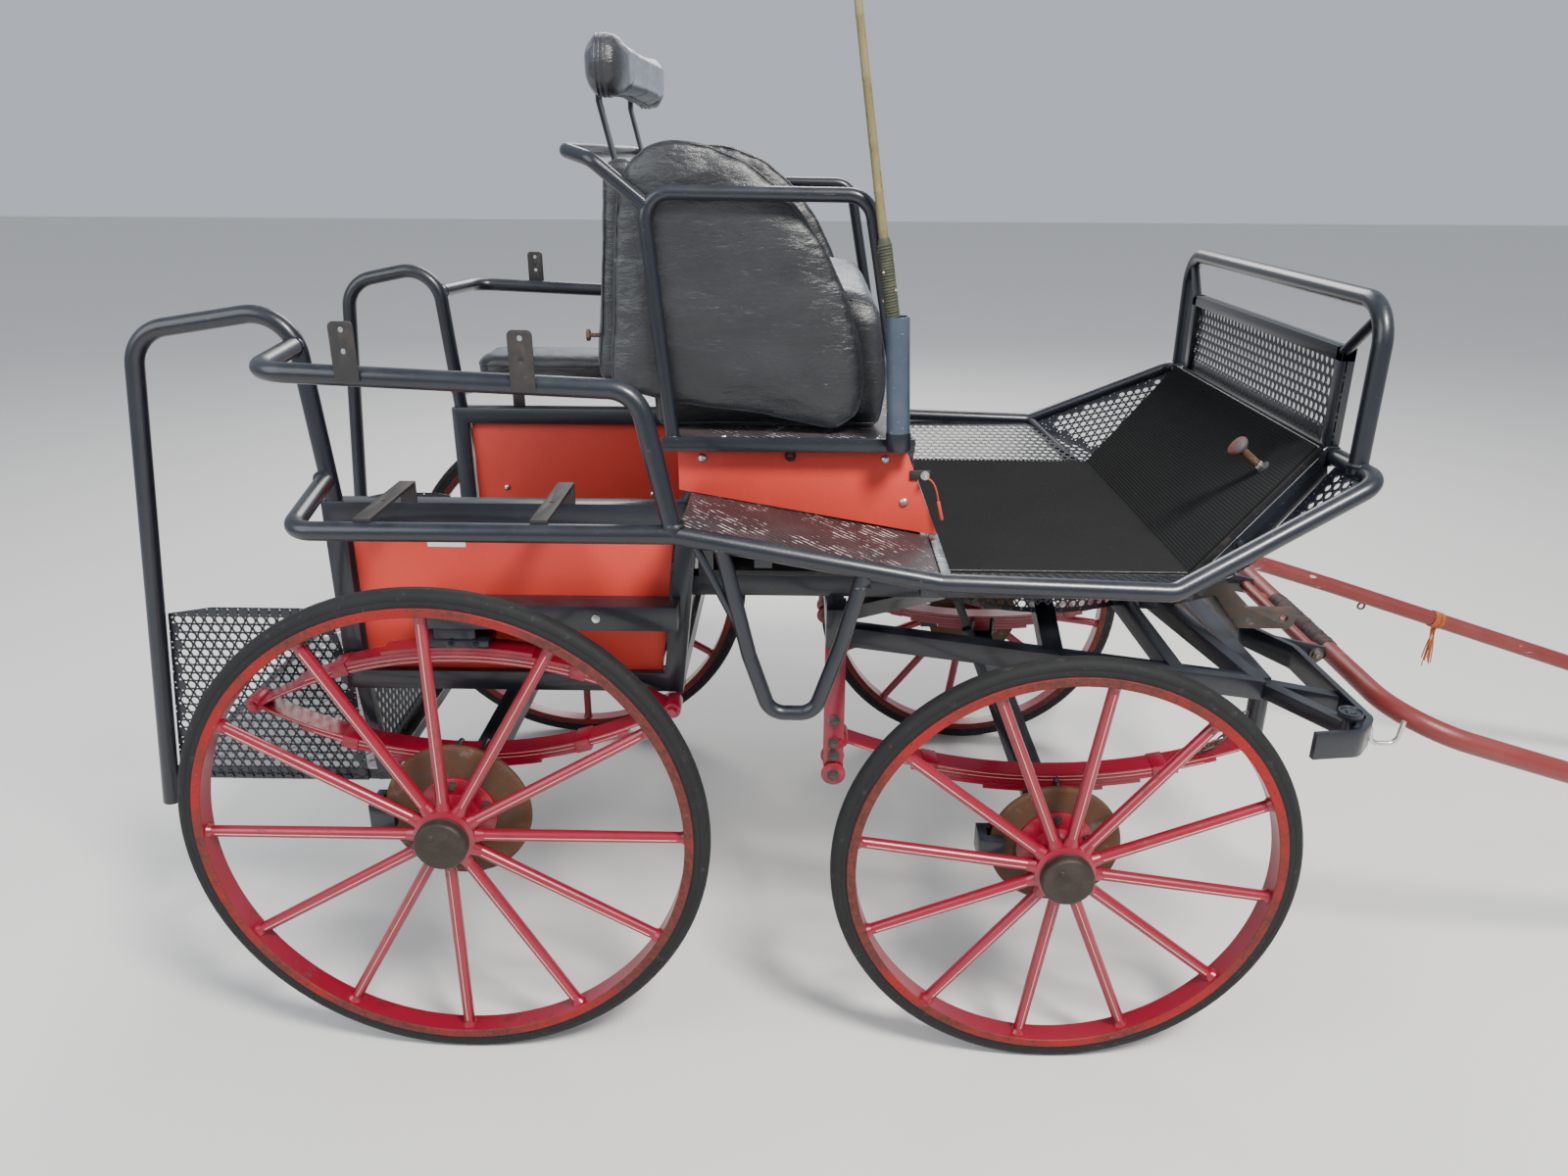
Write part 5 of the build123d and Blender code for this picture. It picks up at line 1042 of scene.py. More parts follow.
class CARRIAGE_OT_wheels(bpy.types.Operator):
    """Build the four spoked wheels with their tyres, hubs, caps and brake discs"""
    bl_idname = "carriage.wheels"
    bl_label = "Wheels"

    def execute(self, context):
        settings = context.scene.carriage_sizes
        for axle, turn, disc in (("rear", 0.0, 0.1425), ("front", 22.0, 0.128)):
            for side, hand in SIDES:
                self.build(settings, axle, side, hand, turn, disc)
        return {"FINISHED"}

    def build(self, settings, axle, side, hand, turn, disc):
        centre = Vector(JOINT[f"{axle}_{hand}_wheel_spin"]["pos_m"])
        out = Vector((0, side, 0))
        radius = centre.z
        body = f"{axle}_{hand}_wheel"
        rim = radius - TYRE_HEIGHT

        tyre = Piece(f"{axle}_{hand}_tyre")
        with tyre.shell("tyre_rubber") as part:
            profile = ((rim, -0.0185), (rim + 0.010, -0.019), (rim + 0.0115, -0.0182), (rim + 0.013, -0.019),
                       (rim + 0.022, -0.0175), (radius - 0.0025, -0.0125), (radius, -0.006), (radius, 0.006),
                       (radius - 0.0025, 0.0125), (rim + 0.022, 0.0175), (rim + 0.013, 0.019),
                       (rim + 0.0115, 0.0182), (rim + 0.010, 0.019), (rim, 0.0185))
            lathe(part, profile, centre, out, 120)
        tyre.place(body, "tyre_rubber", f"{axle}_tyre_{hand}")

        wheel = Piece(f"{axle}_{hand}_spoked_wheel")
        with wheel.shell("wheel_paint", "rim_paint") as part:
            profile = ((rim - 0.0002, -0.0205), (rim - 0.0015, -0.022), (rim - 0.0165, -0.022),
                       (rim - 0.018, -0.0205), (rim - 0.0175, 0.0), (rim - 0.018, 0.0205),
                       (rim - 0.0165, 0.022), (rim - 0.0015, 0.022), (rim - 0.0002, 0.0205))
            lathe(part, profile, centre, out, 120)
            for face in part.faces:
                face.normal_update()
                face.material_index = 1 if abs(face.normal.y) > 0.5 else 0
        with wheel.shell("wheel_paint") as part:
            profile = ((0.0201, 0.022), (0.042, 0.022), (0.0455, 0.019), (0.0575, 0.0155), (0.058, 0.012),
                       (0.058, -0.013), (0.056, -0.016), (0.047, -0.022), (0.0435, -0.036), (0.042, -0.060),
                       (0.045, -0.066), (0.074, -0.0695), (0.077, -0.0715), (0.077, -0.0778),
                       (0.0435, -0.0778), (0.042, -0.091), (0.042, -0.098), (0.0201, -0.098))
            lathe(part, profile, centre, out, 48)
        with wheel.shell("wheel_paint") as part:
            for spoke in range(SPOKES):
                way = self.way(turn + spoke * 360 / SPOKES)
                foot = centre + way * 0.050
                head = centre + way * (rim - 0.0165)
                rod(part, foot, head, settings.spoke / 2, settings.spoke / 2 - 0.001)
                rod(part, head - way * 0.009, head, settings.spoke / 2 - 0.001, settings.spoke / 2 + 0.004)
                rod(part, centre + way * 0.072, foot, settings.spoke / 2, settings.spoke / 2 + 0.005)
        with wheel.shell("pale_paint") as part:
            for spoke in range(SPOKES):
                way = self.way(turn + spoke * 360 / SPOKES)
                across = way.cross(out)
                place = turned(centre + out * (settings.spoke / 2 - 0.0003), way, across)
                half = settings.stripe / 2
                block(part, Vector((-half, -0.0008, 0.075)), Vector((half, 0.0008, rim - 0.034)),
                      matrix=place)
        with wheel.shell("worn_steel") as part:
            for bolt in range(HUB_BOLTS):
                way = self.way(20 + bolt * 360 / HUB_BOLTS)
                hex_head(part, centre + way * 0.062 - out * 0.0698, out, 0.0075, 0.006)
        wheel.place(body, "wheel_red", f"{axle}_wheel_{hand}")

        irons = Piece(f"{axle}_{hand}_cap_and_disc")
        with irons.shell("cap_iron") as part:
            profile = ((0.0, 0.0468), (0.010, 0.0466), (0.012, 0.0455), (0.040, 0.0463), (0.0465, 0.0455),
                       (0.0495, 0.042), (0.050, 0.038), (0.050, 0.0285), (0.0485, 0.0275), (0.0485, 0.0255),
                       (0.050, 0.0245), (0.0495, 0.0222), (0.021, 0.0222), (0.021, 0.034), (0.0, 0.034))
            lathe(part, profile, centre, out, 48)
        with irons.shell("rusty_iron") as part:
            profile = ((0.0422, -0.0782), (disc - 0.010, -0.0782), (disc - 0.002, -0.0785), (disc, -0.080),
                       (disc, -0.0825), (disc - 0.004, -0.083), (disc - 0.004, -0.085), (disc, -0.0855),
                       (disc, -0.088), (disc - 0.002, -0.090), (0.0422, -0.090))
            lathe(part, profile, centre, out, 72)
        with irons.shell("cap_iron") as part:
            dent = centre + Vector((-0.014, 0, 0.020)) + out * 0.0452
            profile = ((0.0, 0.003), (0.004, 0.0028), (0.0062, 0.0012), (0.0066, 0.0), (0.0, 0.0))
            lathe(part, profile, dent, out, 14)
        irons.place(body, "rusty_iron", f"{axle}_hub_irons_{hand}")

    @staticmethod
    def way(degrees):
        return Vector((math.cos(math.radians(degrees)), 0, math.sin(math.radians(degrees))))


class CARRIAGE_OT_springs(bpy.types.Operator):
    """Build the leaf springs with their clips, U-bolts, eyes and pinstripes"""
    bl_idname = "carriage.springs"
    bl_label = "Springs"

    def execute(self, context):
        settings = context.scene.carriage_sizes
        rear = Piece("rear_leaf_springs")
        for side in BOTH:
            self.pack(rear, settings, (0, side * REAR_SPRING_Y), 572, 108, 828, 4, 1)
            self.pack(rear, settings, (0, side * REAR_SPRING_Y), 788, 108, 828, 4, -1)
            for end in (-1, 1):
                self.eye(rear, spot(end * 414, side * REAR_SPRING_Y, 680))
            self.clamp(rear, spot(0, side * REAR_SPRING_Y, 0), (525, 548), (850, 812))
            with rear.shell("frame_paint") as part:
                y = side * REAR_SPRING_Y
                block(part, spot(-66, y - 30, 814), spot(66, y + 30, 828), 0.0015)
                for x in (-56, -8, 40):
                    hex_head(part, spot(x, y - 26 * side, 828), UP, 0.0080, 0.006)
                    hex_head(part, spot(x, side * 502, 821), Vector((0, side, 0)), 0.0062, 0.005)
        rear.place("body", "wheel_red", "rear_springs")
        fore = Piece("front_leaf_springs")
        for side in BOTH:
            self.pack(fore, settings, (KING_PIN_X, side * FRONT_SPRING_Y), 509, 80, 840, 5, 1)
            for end in (-1, 1):
                self.eye(fore, spot(KING_PIN_X + end * 420, side * FRONT_SPRING_Y, 589))
            self.clamp(fore, spot(KING_PIN_X, side * FRONT_SPRING_Y, 0), (467, 477), None)
        fore.place("fore_carriage", "wheel_red", "front_springs")
        return {"FINISHED"}

    def pack(self, piece, settings, place, crown, camber, span, count, up):
        """Leaves bent to one circle, thinned towards the ends."""
        x, y = place
        half = span / 2
        radius = (half * half + camber * camber) / (2 * camber)
        centre = spot(x, y, crown + up * radius)
        side = -1 if y < 0 else 1
        for leaf in range(count):
            outer = (radius + leaf * LEAF_STEP) * MM
            middle = outer - settings.leaf / 2
            reach = math.asin(half * (1 - leaf / (count + 0.6)) / radius)
            self.arc(piece, "wheel_paint", centre, middle, reach, up, 0.025, settings.leaf / 2, 0.0)
            for face in (side, -side) if leaf < 2 else ():
                self.arc(piece, "pale_paint", centre, middle, reach * 0.93, up, 0.0006, settings.stripe / 3.5,
                         face * 0.0252)
        for share in (-0.56, 0.56):
            angle = math.asin(half * share / radius)
            inner = (radius - 9.5) * MM
            outer = (radius + 2 * LEAF_STEP + 1.5) * MM
            down = Vector((math.sin(angle), 0, -up * math.cos(angle)))
            place_clip = turned(centre + down * (inner + outer) / 2, Vector((0, 1, 0)), down)
            with piece.shell("wheel_paint") as part:
                deep = (outer - inner) / 2
                block(part, Vector((-deep, -0.016, -0.0285)), Vector((deep, 0.016, 0.0285)), 0.002,
                      matrix=place_clip)

    @staticmethod
    def arc(piece, finish, centre, radius, reach, up, half_width, half_thick, offset):
        """One curved strip, spun round the circle's centre."""
        start = Vector((-math.sin(reach), 0, -up * math.cos(reach)))
        with piece.shell(finish) as part:
            across = LEFT
            corners = [centre + start * (radius + depth) + across * (offset + width)
                       for depth, width in ((-half_thick, -half_width), (half_thick, -half_width),
                                            (half_thick, half_width), (-half_thick, half_width))]
            verts = [part.verts.new(corner) for corner in corners]
            face = part.faces.new(verts)
            bmesh.ops.spin(part, geom=[face], cent=centre, axis=across, dvec=(0, 0, 0),
                           angle=-2 * reach * up, steps=22, use_merge=False, use_duplicate=False)

    @staticmethod
    def eye(piece, at):
        """A rolled eye with its bolt's heads."""
        across = LEFT
        with piece.shell("wheel_paint") as part:
            profile = ((0.0, -0.028), (0.011, -0.028), (0.0125, -0.0255), (0.0155, -0.0255), (0.017, -0.023),
                       (0.017, 0.023), (0.0155, 0.0255), (0.0125, 0.0255), (0.011, 0.028), (0.0, 0.028))
            lathe(part, profile, at, across, 24)
        with piece.shell("wheel_paint") as part:
            for end in (-1, 1):
                rod(part, at + across * end * 0.026, at + across * end * 0.036, 0.0095, segments=6)

    @staticmethod
    def clamp(piece, base, low, high):
        """The plates and U-bolts that hold a spring's middle."""
        with piece.shell("frame_paint") as part:
            for span in (low, high):
                if span is None:
                    continue
                bottom, top = sorted(span)
                block(part, base + Vector((-0.040, -0.025, bottom * MM)),
                      base + Vector((0.040, 0.025, top * MM)), 0.0015)
        with piece.shell("frame_paint") as part:
            top, foot = (0.5075, 0.4685) if high is None else (0.5795, 0.5265)
            for end in (-1, 1):
                x = end * 0.026
                points = [base + Vector((x, wide, tall)) for wide, tall in
                          ((-0.0305, foot), (-0.0305, top - 0.012), (-0.0305, top), (-0.018, top + 0.0035),
                           (0.018, top + 0.0035), (0.0305, top), (0.0305, top - 0.012), (0.0305, foot))]
                drawn_tube(part, points, 0.0048, 12)


class CARRIAGE_OT_sheets(bpy.types.Operator):
    """Punch the perforated sheets of the step box, wings, dash and turntable"""
    bl_idname = "carriage.sheets"
    bl_label = "Perforated sheets"

    def execute(self, context):
        settings = context.scene.carriage_sizes
        screens = Piece("step_box_screens")
        for side, (foot, head) in zip(BOTH, ((-672, -550), (-558, -482))):
            leg_low, leg_high = (foot + (head - foot) * (z - 410) / (1395 - 410) + 16.85 for z in (460, 838))
            arch = (-247 - leg_high) / 4
            outline = ((leg_low, 460), (-200, 460), (-247, 692), (-247, 838), (-247 - arch, 852),
                       (leg_high + arch, 852), (leg_high, 838))
            with screens.shell("frame_paint", recalc=False) as part:
                corners = [spot(x, side * 405.6, z) for x, z in outline]
                perforate(part, corners, settings, 0.008, settings.sheet * side)
        with screens.shell("frame_paint", recalc=False) as part:
            corners = [spot(*corner) for corner in ((-223, 389, 488), (-223, -389, 488),
                                                    (-245.5, -389, 697), (-245.5, 389, 697))]
            perforate(part, corners, settings, 0.012, settings.sheet)
        screens.place("body", "black_paint", "step_screens")

        wings = Piece("floor_wings")
        for side in BOTH:
            y_in, y_out, rise = side * 424, side * 653, 1003
            fold, head, outer = (1490, y_in, FLOOR_Z), (1651, y_in, 1168), (1311, y_out, rise)
            tip = (1655, side * 566, 1168)
            sheets = (
                # corners of each sheet, then the plain margin along each of its edges
                (((930, y_in, FLOOR_Z), fold, outer, (930, y_out, rise)), (0.006, 0.006, 0.010, 0.012)),
                ((head, tip, fold), (0.004, -0.012, 0.016)),
                ((fold, tip, outer), (-0.010, 0.012, 0.006)),
            )
            for corners, margins in sheets:
                with wings.shell("frame_paint", recalc=False) as part:
                    points = [spot(*corner) for corner in corners]
                    if side < 0:
                        points = points[:1] + points[:0:-1]
                        margins = margins[::-1]
                    perforate(part, points, settings, margins, settings.sheet)
        wings.place("body", "black_paint", "wings")

        dash = Piece("dash_panel")
        with dash.shell("frame_paint", recalc=False) as part:
            corners = [spot(1643.5, y, z) for y, z in ((-412, 1202), (412, 1202), (412, 1382), (-412, 1382))]
            perforate(part, corners, settings, 0.024, settings.sheet)
        with dash.shell("frame_paint") as part:
            for side in BOTH:
                side_block(part, side, (1632, 1657), (387, 412), (1202, 1382), 0.001)
            block(part, spot(1632, -412, 1357), spot(1657, 412, 1382), 0.001)
        dash.place("body", "black_paint", "dash_screen")

        skirt = Piece("turntable_skirt")
        with skirt.shell("frame_paint", recalc=False) as part:
            bend, tall = 0.3015, 0.042
            around = 2 * math.pi * bend
            corners = [Vector((x, 0, z)) for x, z in ((0, 0), (around, 0), (around, tall), (0, tall))]
            perforate(part, corners, settings, 0.002, settings.sheet)
            centre = spot(KING_PIN_X, 0, 817.7)
            for vert in part.verts:
                angle = vert.co.x / bend
                radius = bend - vert.co.y
                vert.co = centre + Vector((radius * math.cos(angle), radius * math.sin(angle), vert.co.z))
        skirt.place("fore_carriage", "black_paint", "ring_skirt")
        return {"FINISHED"}


class CARRIAGE_OT_tread(bpy.types.Operator):
    """Lay the aluminium chequer plate in the step box"""
    bl_idname = "carriage.tread"
    bl_label = "Step tread"

    def execute(self, context):
        piece = Piece("chequer_tread")
        piece.node("step_tread", "tread_plate")
        low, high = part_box("step_tread")
        cell = 0.024
        with piece.shell("tread_plate", merge=0) as part:
            for row in range(int((high.x - low.x - 0.03) / cell)):
                for column in range(int((high.y - low.y - 0.05) / cell)):
                    middle = Vector((low.x + 0.024 + row * cell, low.y + 0.034 + column * cell, high.z))
                    lean = math.radians(45 if (row + column) % 2 else -45)
                    along = Vector((math.cos(lean), math.sin(lean), 0))
                    across = Vector((-along.y, along.x, 0))
                    corners = (along * 0.0125, across * 0.0030, -along * 0.0125, -across * 0.0030)
                    foot = [part.verts.new(middle + corner) for corner in corners]
                    crest = [part.verts.new(middle + corner * 0.72 + UP * 0.0016) for corner in corners]
                    part.faces.new(crest)
                    for first in range(4):
                        second = (first + 1) % 4
                        part.faces.new((foot[first], foot[second], crest[second], crest[first]))
        piece.place("body", "bare_steel", "step_tread", crease=20)
        return {"FINISHED"}


class CARRIAGE_OT_fore_irons(bpy.types.Operator):
    """Finish the splinter bar's rollers, the lug bolts, the spring hangers and the chains"""
    bl_idname = "carriage.fore_irons"
    bl_label = "Fore-carriage irons"

    def execute(self, context):
        bar = Piece("splinter_bar_skin")
        bar.node("splinter_bar", "frame_paint", 0.0015)
        across = LEFT
        with bar.shell("frame_paint") as part:
            for side in BOTH:
                top = spot(1679, side * 600, 750)
                ring = ((0.0220, -0.001), (0.0222, 0.0022), (0.0195, 0.0026), (0.0178, 0.0004),
                        (0.0178, -0.001))
                lathe(part, ring, top, UP, 32)
                button = ((0.0, -0.001), (0.0, 0.0024), (0.0085, 0.0024), (0.0100, 0.0), (0.0100, -0.001))
                lathe(part, button, top, UP, 24)
        with bar.shell("worn_steel") as part:
            for side in BOTH:
                out = across * side
                hinge = spot(HINGE_X, side * 213, HINGE_Z)
                rod(part, hinge, hinge + out * 0.0028, 0.0155, segments=20)
                hex_head(part, hinge + out * 0.002, out, 0.0115, 0.008)
        bar.place("fore_carriage", "black_paint", "splinter_bar")

        hangers = Piece("spring_hanger_irons")
        hangers.node("spring_hangers", "wheel_paint", 0.001)
        with hangers.shell("wheel_paint") as part:
            for side in BOTH:
                for end in (-1, 1):
                    low = spot(HANGER_X, side * FRONT_SPRING_Y, 520) + across * end * 0.0335
                    washer = ((0.0, 0.0), (0.024, 0.0), (0.025, 0.002), (0.025, 0.006), (0.022, 0.008),
                              (0.0, 0.008))
                    lathe(part, washer, low, across * end, 28)
                for high in (560, 640):
                    y = side * FRONT_SPRING_Y
                    rod(part, spot(HANGER_X, y - 34, high), spot(HANGER_X, y + 34, high), 0.009)
        with hangers.shell("worn_steel") as part:
            for side in BOTH:
                for end in (-1, 1):
                    for high in (520, 589, 560, 640, 760):
                        out = 0.0413 if high == 520 else 0.0335
                        at = spot(HANGER_X, side * FRONT_SPRING_Y, high) + across * end * out
                        hex_head(part, at, across * end, 0.0095, 0.0075)
        hangers.place("fore_carriage", "wheel_red", "spring_hangers")

        for side, hand in SIDES:
            self.chain(side, hand)
        return {"FINISHED"}

    @staticmethod
    def chain(side, hand):
        """A slack safety chain from the front hanger tube to the spring."""
        start, end = spot(1566, side * 430, 660), spot(1452, side * 432, 571)
        run = end - start
        piece = Piece(f"spring_chain_{hand}")
        with piece.shell("worn_steel", merge=0) as part:
            links = 9
            for link in range(links):
                share = (link + 0.5) / links
                at = start + run * share - UP * 0.030 * math.sin(math.pi * share)
                slope = (run - UP * 0.030 * math.pi * math.cos(math.pi * share)).normalized()
                flat = LEFT if link % 2 else slope.cross(LEFT).normalized()
                ring = []
                for step in range(12):
                    turn = math.tau * step / 12
                    ring.append(at + slope * 0.0125 * math.cos(turn) + flat * 0.0068 * math.sin(turn))
                drawn_tube(part, ring, 0.0021, 8, cyclic=True)
        piece.place("fore_carriage", "rusty_iron")


class CARRIAGE_OT_panels(bpy.types.Operator):
    """Hang the red panels with their bolts, and the blank white plate"""
    bl_idname = "carriage.panels"
    bl_label = "Panels"

    def execute(self, context):
        piece = Piece("red_side_panels")
        piece.node("side_panels", "panel_paint", 0.0008)
        with piece.shell("bright_steel") as part:
            for side in BOTH:
                for x, z in ((-124, 867), (267, 852)):
                    dome_head(part, spot(x, side * 414, z), Vector((0, -side, 0)), 0.0085)
        with piece.shell("plate_white") as part:
            block(part, spot(-58, -421.4, 990), spot(16, -420.0, 1007), 0.0005)
        piece.place("body", "red_panel", "side_panels")

        cheeks = Piece("red_seat_cheeks")
        cheeks.node("seat_cheeks", "panel_paint", 0.0008)
        with cheeks.shell("bright_steel") as part:
            for side in BOTH:
                out = Vector((0, side, 0))
                for x, z in ((478, 1172), (819, 1172), (857, 1090)):
                    dome_head(part, spot(x, side * 423, z), out, 0.0088)
        with cheeks.shell("cap_iron") as part:
            for side in BOTH:
                profile = ((0.0042, 0.0), (0.0100, 0.0), (0.0100, 0.004), (0.0088, 0.0056), (0.0050, 0.0056),
                           (0.0042, 0.0050))
                lathe(part, profile, spot(642, side * 423, 1178), Vector((0, side, 0)), 20)
        cheeks.place("body", "red_panel", "seat_cheeks")

        bolts = Piece("frame_bolts")
        with bolts.shell("rusty_iron") as part:
            for y in (-352, 352):
                rod(part, spot(287, y, 1386), spot(262, y, 1386), 0.004)
                rod(part, spot(268, y, 1386), spot(262, y, 1386), 0.011, segments=6)
        with bolts.shell("bright_steel") as part:
            for side in BOTH:
                out = Vector((0, side, 0))
                hex_head(part, spot(275, side * 497, 875), out, 0.0058)
                for x in (KING_PIN_X - 120, KING_PIN_X + 120):
                    hex_head(part, spot(x, side * 421, 916), out, 0.008)
        bolts.place("body", "bare_steel")
        return {"FINISHED"}


class CARRIAGE_OT_seat_board(bpy.types.Operator):
    """Lay the dark seat board with its worn edge"""
    bl_idname = "carriage.seat_board"
    bl_label = "Seat board"

    def execute(self, context):
        piece = Piece("seat_board")
        with piece.shell("dark_board") as part:
            block(part, spot(410, -452, 1203), spot(868, 452, 1215), 0.0022)
        with piece.shell("frame_paint") as part:
            for side in BOTH:
                side_block(part, side, (408, 870), (450, 457), (1193, 1219), 0.0012)
        with piece.shell("bright_steel") as part:
            for side in BOTH:
                for x in (520, 805):
                    dome_head(part, spot(x, side * 430, 1215), UP, 0.006)
        piece.place("body", "black_paint", "seat_plate")
        return {"FINISHED"}


class CARRIAGE_OT_mat(bpy.types.Operator):
    """Roll out the ribbed rubber mat, level and up the slanted board"""
    bl_idname = "carriage.mat"
    bl_label = "Floor mat"

    def execute(self, context):
        settings = context.scene.carriage_sizes
        piece = Piece("ribbed_floor_mat")
        slope = math.hypot(BOARD_TOP_X - KNEE_X, BOARD_TOP_Z - FLOOR_Z)
        slant, board, knee = BOARD_OUT, BOARD_RISE, BOARD_KNEE
        bend = (UP + slant) / (1 + UP.dot(slant))
        head = knee + board * (slope - 3) * MM
        rear = spot(951, 0, FLOOR_Z)
        half = 0.416
        count = int(2 * half / settings.rib)
        base, crest = 0.0042, 0.0058
        stops = ((rear, UP), (knee, bend), (head, slant))
        with piece.shell("mat_rubber") as part:
            under = [point + way * 0.0001 for point, way in stops]
            over = [point + way * base for point, way in stops[::-1]]
            pushed(part, [point + Vector((0, -half, 0)) for point in under + over], (0, 2 * half, 0))
        with piece.shell("dark_board") as part:
            block(part, spot(930, -416, 948.1), spot(950.6, 416, 951.5), 0.0006)
        with piece.shell("bare_steel") as part:
            for side in BOTH:
                side_block(part, side, (951, 1411), (415.2, 416.4), (950.8, 952.6))
            block(part, spot(950.4, -416, 950.8), spot(951.6, 416, 952.6))
        pedal = knee + board * (slope - 90) * MM + Vector((0, -0.330, 0))
        wide = settings.rib * 0.28
        with piece.shell("mat_rubber", merge=0) as part:
            for rib in range(count):
                y = -half + settings.rib * (rib + 0.5)
                near, ridge, far = ([point + way * tall + Vector((0, across, 0)) for point, way in stops]
                                    for tall, across in ((base, y - wide), (crest, y), (base, y + wide)))
                for first in range(2):
                    for one, two in ((near, ridge), (ridge, far)):
                        quad = (one[first], one[first + 1], two[first + 1], two[first])
                        part.faces.new([part.verts.new(corner) for corner in quad])
        # A dark disc round the pedal's stem: painted shade standing in for the hole in the mat
        with piece.shell("black_tape_and_hole_shade") as part:
            lathe(part, ((0.0, base), (0.0135, base), (0.0135, crest + 0.0003), (0.0, crest + 0.0003)),
                  pedal + board * 0.003, slant, 24)
        piece.place("body", "ribbed_rubber", "floor_mat")

        stem = Piece("brake_pedal")
        with stem.shell("rusty_iron") as part:
            thread = [(0.0, -0.040), (0.0080, -0.040), (0.0080, 0.022)]
            for turn in range(15):
                thread += [(0.0084, 0.024 + turn * 0.0028), (0.0072, 0.0254 + turn * 0.0028)]
            thread += [(0.0080, 0.067), (0.0, 0.067)]
            lathe(part, thread, pedal, slant, 20)
        with stem.shell("clay_paint") as part:
            profile = ((0.0, 0.0625), (0.0095, 0.0625), (0.0150, 0.0650), (0.0195, 0.0690), (0.0218, 0.0735),
                       (0.0218, 0.0765), (0.0195, 0.0800), (0.0130, 0.0822), (0.0, 0.0830))
            lathe(part, profile, pedal, slant, 36)
        with stem.shell("bright_steel") as part:
            nut = ((0.0, 0.004), (0.0095, 0.004), (0.0098, 0.006), (0.0098, 0.019), (0.0085, 0.021),
                   (0.0, 0.021))
            lathe(part, nut, pedal, slant, 6)
        with stem.shell("worn_steel") as part:
            place = turned(pedal - slant * 0.042, board, LEFT)
            block(part, Vector((-0.015, -0.005, -0.010)), Vector((0.015, 0.005, 0.082)), 0.001, matrix=place)
        stem.place("body", "rusty_iron", "brake_pedal")
        return {"FINISHED"}


class CARRIAGE_OT_brake_lever(bpy.types.Operator):
    """Hang the small red lever beside the right cheek on its nut"""
    bl_idname = "carriage.brake_lever"
    bl_label = "Brake lever"

    def execute(self, context):
        piece = Piece("brake_lever_rod")
        with piece.shell("dull_iron") as part:
            block(part, spot(866, -426.5, 1134), spot(904, -423.2, 1152), 0.0008)
        with piece.shell("bright_steel") as part:
            hub = spot(894, -426.5, 1143)
            hex_head(part, hub, Vector((0, -1, 0)), 0.0062, 0.007)
            rod(part, hub, hub - Vector((0, 0.019, 0)), 0.0034)
        with piece.shell("panel_paint") as part:
            line = [spot(x, -443, z) for x, z in ((893, 1143), (902, 1141), (911, 1130), (917, 1112),
                                                  (921, 1090), (928, 1064))]
            drawn_tube(part, line, 0.0017, 10)
            grip = spot(928, -443, 1064) - spot(920, -443, 1096)
            block(part, Vector((-0.0030, -0.0019, -0.002)), Vector((0.0030, 0.0019, grip.length + 0.002)),
                  0.0010, matrix=turned(spot(920, -443, 1096), grip, Vector((1, 0, 0))))
        piece.place("body", "red_panel", "brake_lever")
        return {"FINISHED"}


class CARRIAGE_OT_upholstery(bpy.types.Operator):
    """Stuff and pipe the seat, its sides and back, the back rest and the side cushion"""
    bl_idname = "carriage.upholstery"
    bl_label = "Upholstery"

    def execute(self, context):
        settings = context.scene.carriage_sizes
        outline = ((300, 1292), (318, 1560), (330, 1650), (352, 1698), (388, 1727), (430, 1737), (500, 1729),
                   (575, 1697), (645, 1642), (705, 1564), (752, 1467), (783, 1372), (790, 1300), (778, 1245),
                   (735, 1216), (700, 1220), (560, 1246), (420, 1262))
        for side, hand in SIDES:
            y = side * 374.5
            corners = [spot(x, y, z) for x, z in outline]
            thick = Vector((0, side * 0.0455, 0))
            upholster(f"seat_side_{hand}", corners, thick, "seat_sides", settings, 3 + side, (0.10, 0.90))
        wedge = ((376, 1216), (822, 1216), (827, 1320), (816, 1432), (788, 1452), (392, 1530))
        corners = [spot(x, -373, z) for x, z in wedge]
        upholster("seat_wedge", corners, Vector((0, 0.746, 0)), "seat_cushion", settings, 9, (0.02, 0.98),
                  voxel=0.012, cap=0.012, creases=Vector((12, 9, 20)))
        back = ((279, 1291), (357, 1291), (373, 1688), (349, 1709), (310, 1700))
        corners = [spot(x, -373, z) for x, z in back]
        upholster("seat_back_pad", corners, Vector((0, 0.746, 0)), "seat_back", settings, 12, (0.02, 0.98),
                  voxel=0.011, creases=Vector((12, 9, 20)))
        rest = rounded_outline(0.660, 0.112, 0.050)
        corners = [spot(285, 0, 1846) + Vector((0, u, v)) for u, v in rest]
        upholster("back_rest", corners, Vector((0.0485, 0, 0)), "back_pad", settings, 15, (0.16, 0.36, 0.56),
                  inset=0.005, voxel=0.0065, pressure=9.0, cap=0.018, creases=Vector((20, 8, 20)),
                  depth=0.0012)
        pad = rounded_outline(0.601, 0.209, 0.055)
        corners = [spot(94.5, 547.5, 1126) + Vector((u, v, 0)) for u, v in pad]
        upholster("side_cushion", corners, Vector((0, 0, 0.076)), "rear_cushion", settings, 18, (0.80,),
                  inset=0.005, voxel=0.008, creases=Vector((9, 14, 14)), depth=0.0018)
        return {"FINISHED"}


def rounded_outline(wide, tall, corner):
    """Points round a rectangle with round corners, about its middle."""
    points = []
    for quarter, (u, v) in enumerate(((1, -1), (1, 1), (-1, 1), (-1, -1))):
        for step in range(5):
            angle = math.radians(-90 + quarter * 90 + step * 22.5)
            points.append((u * (wide / 2 - corner) + corner * math.cos(angle),
                           v * (tall / 2 - corner) + corner * math.sin(angle)))
    return points


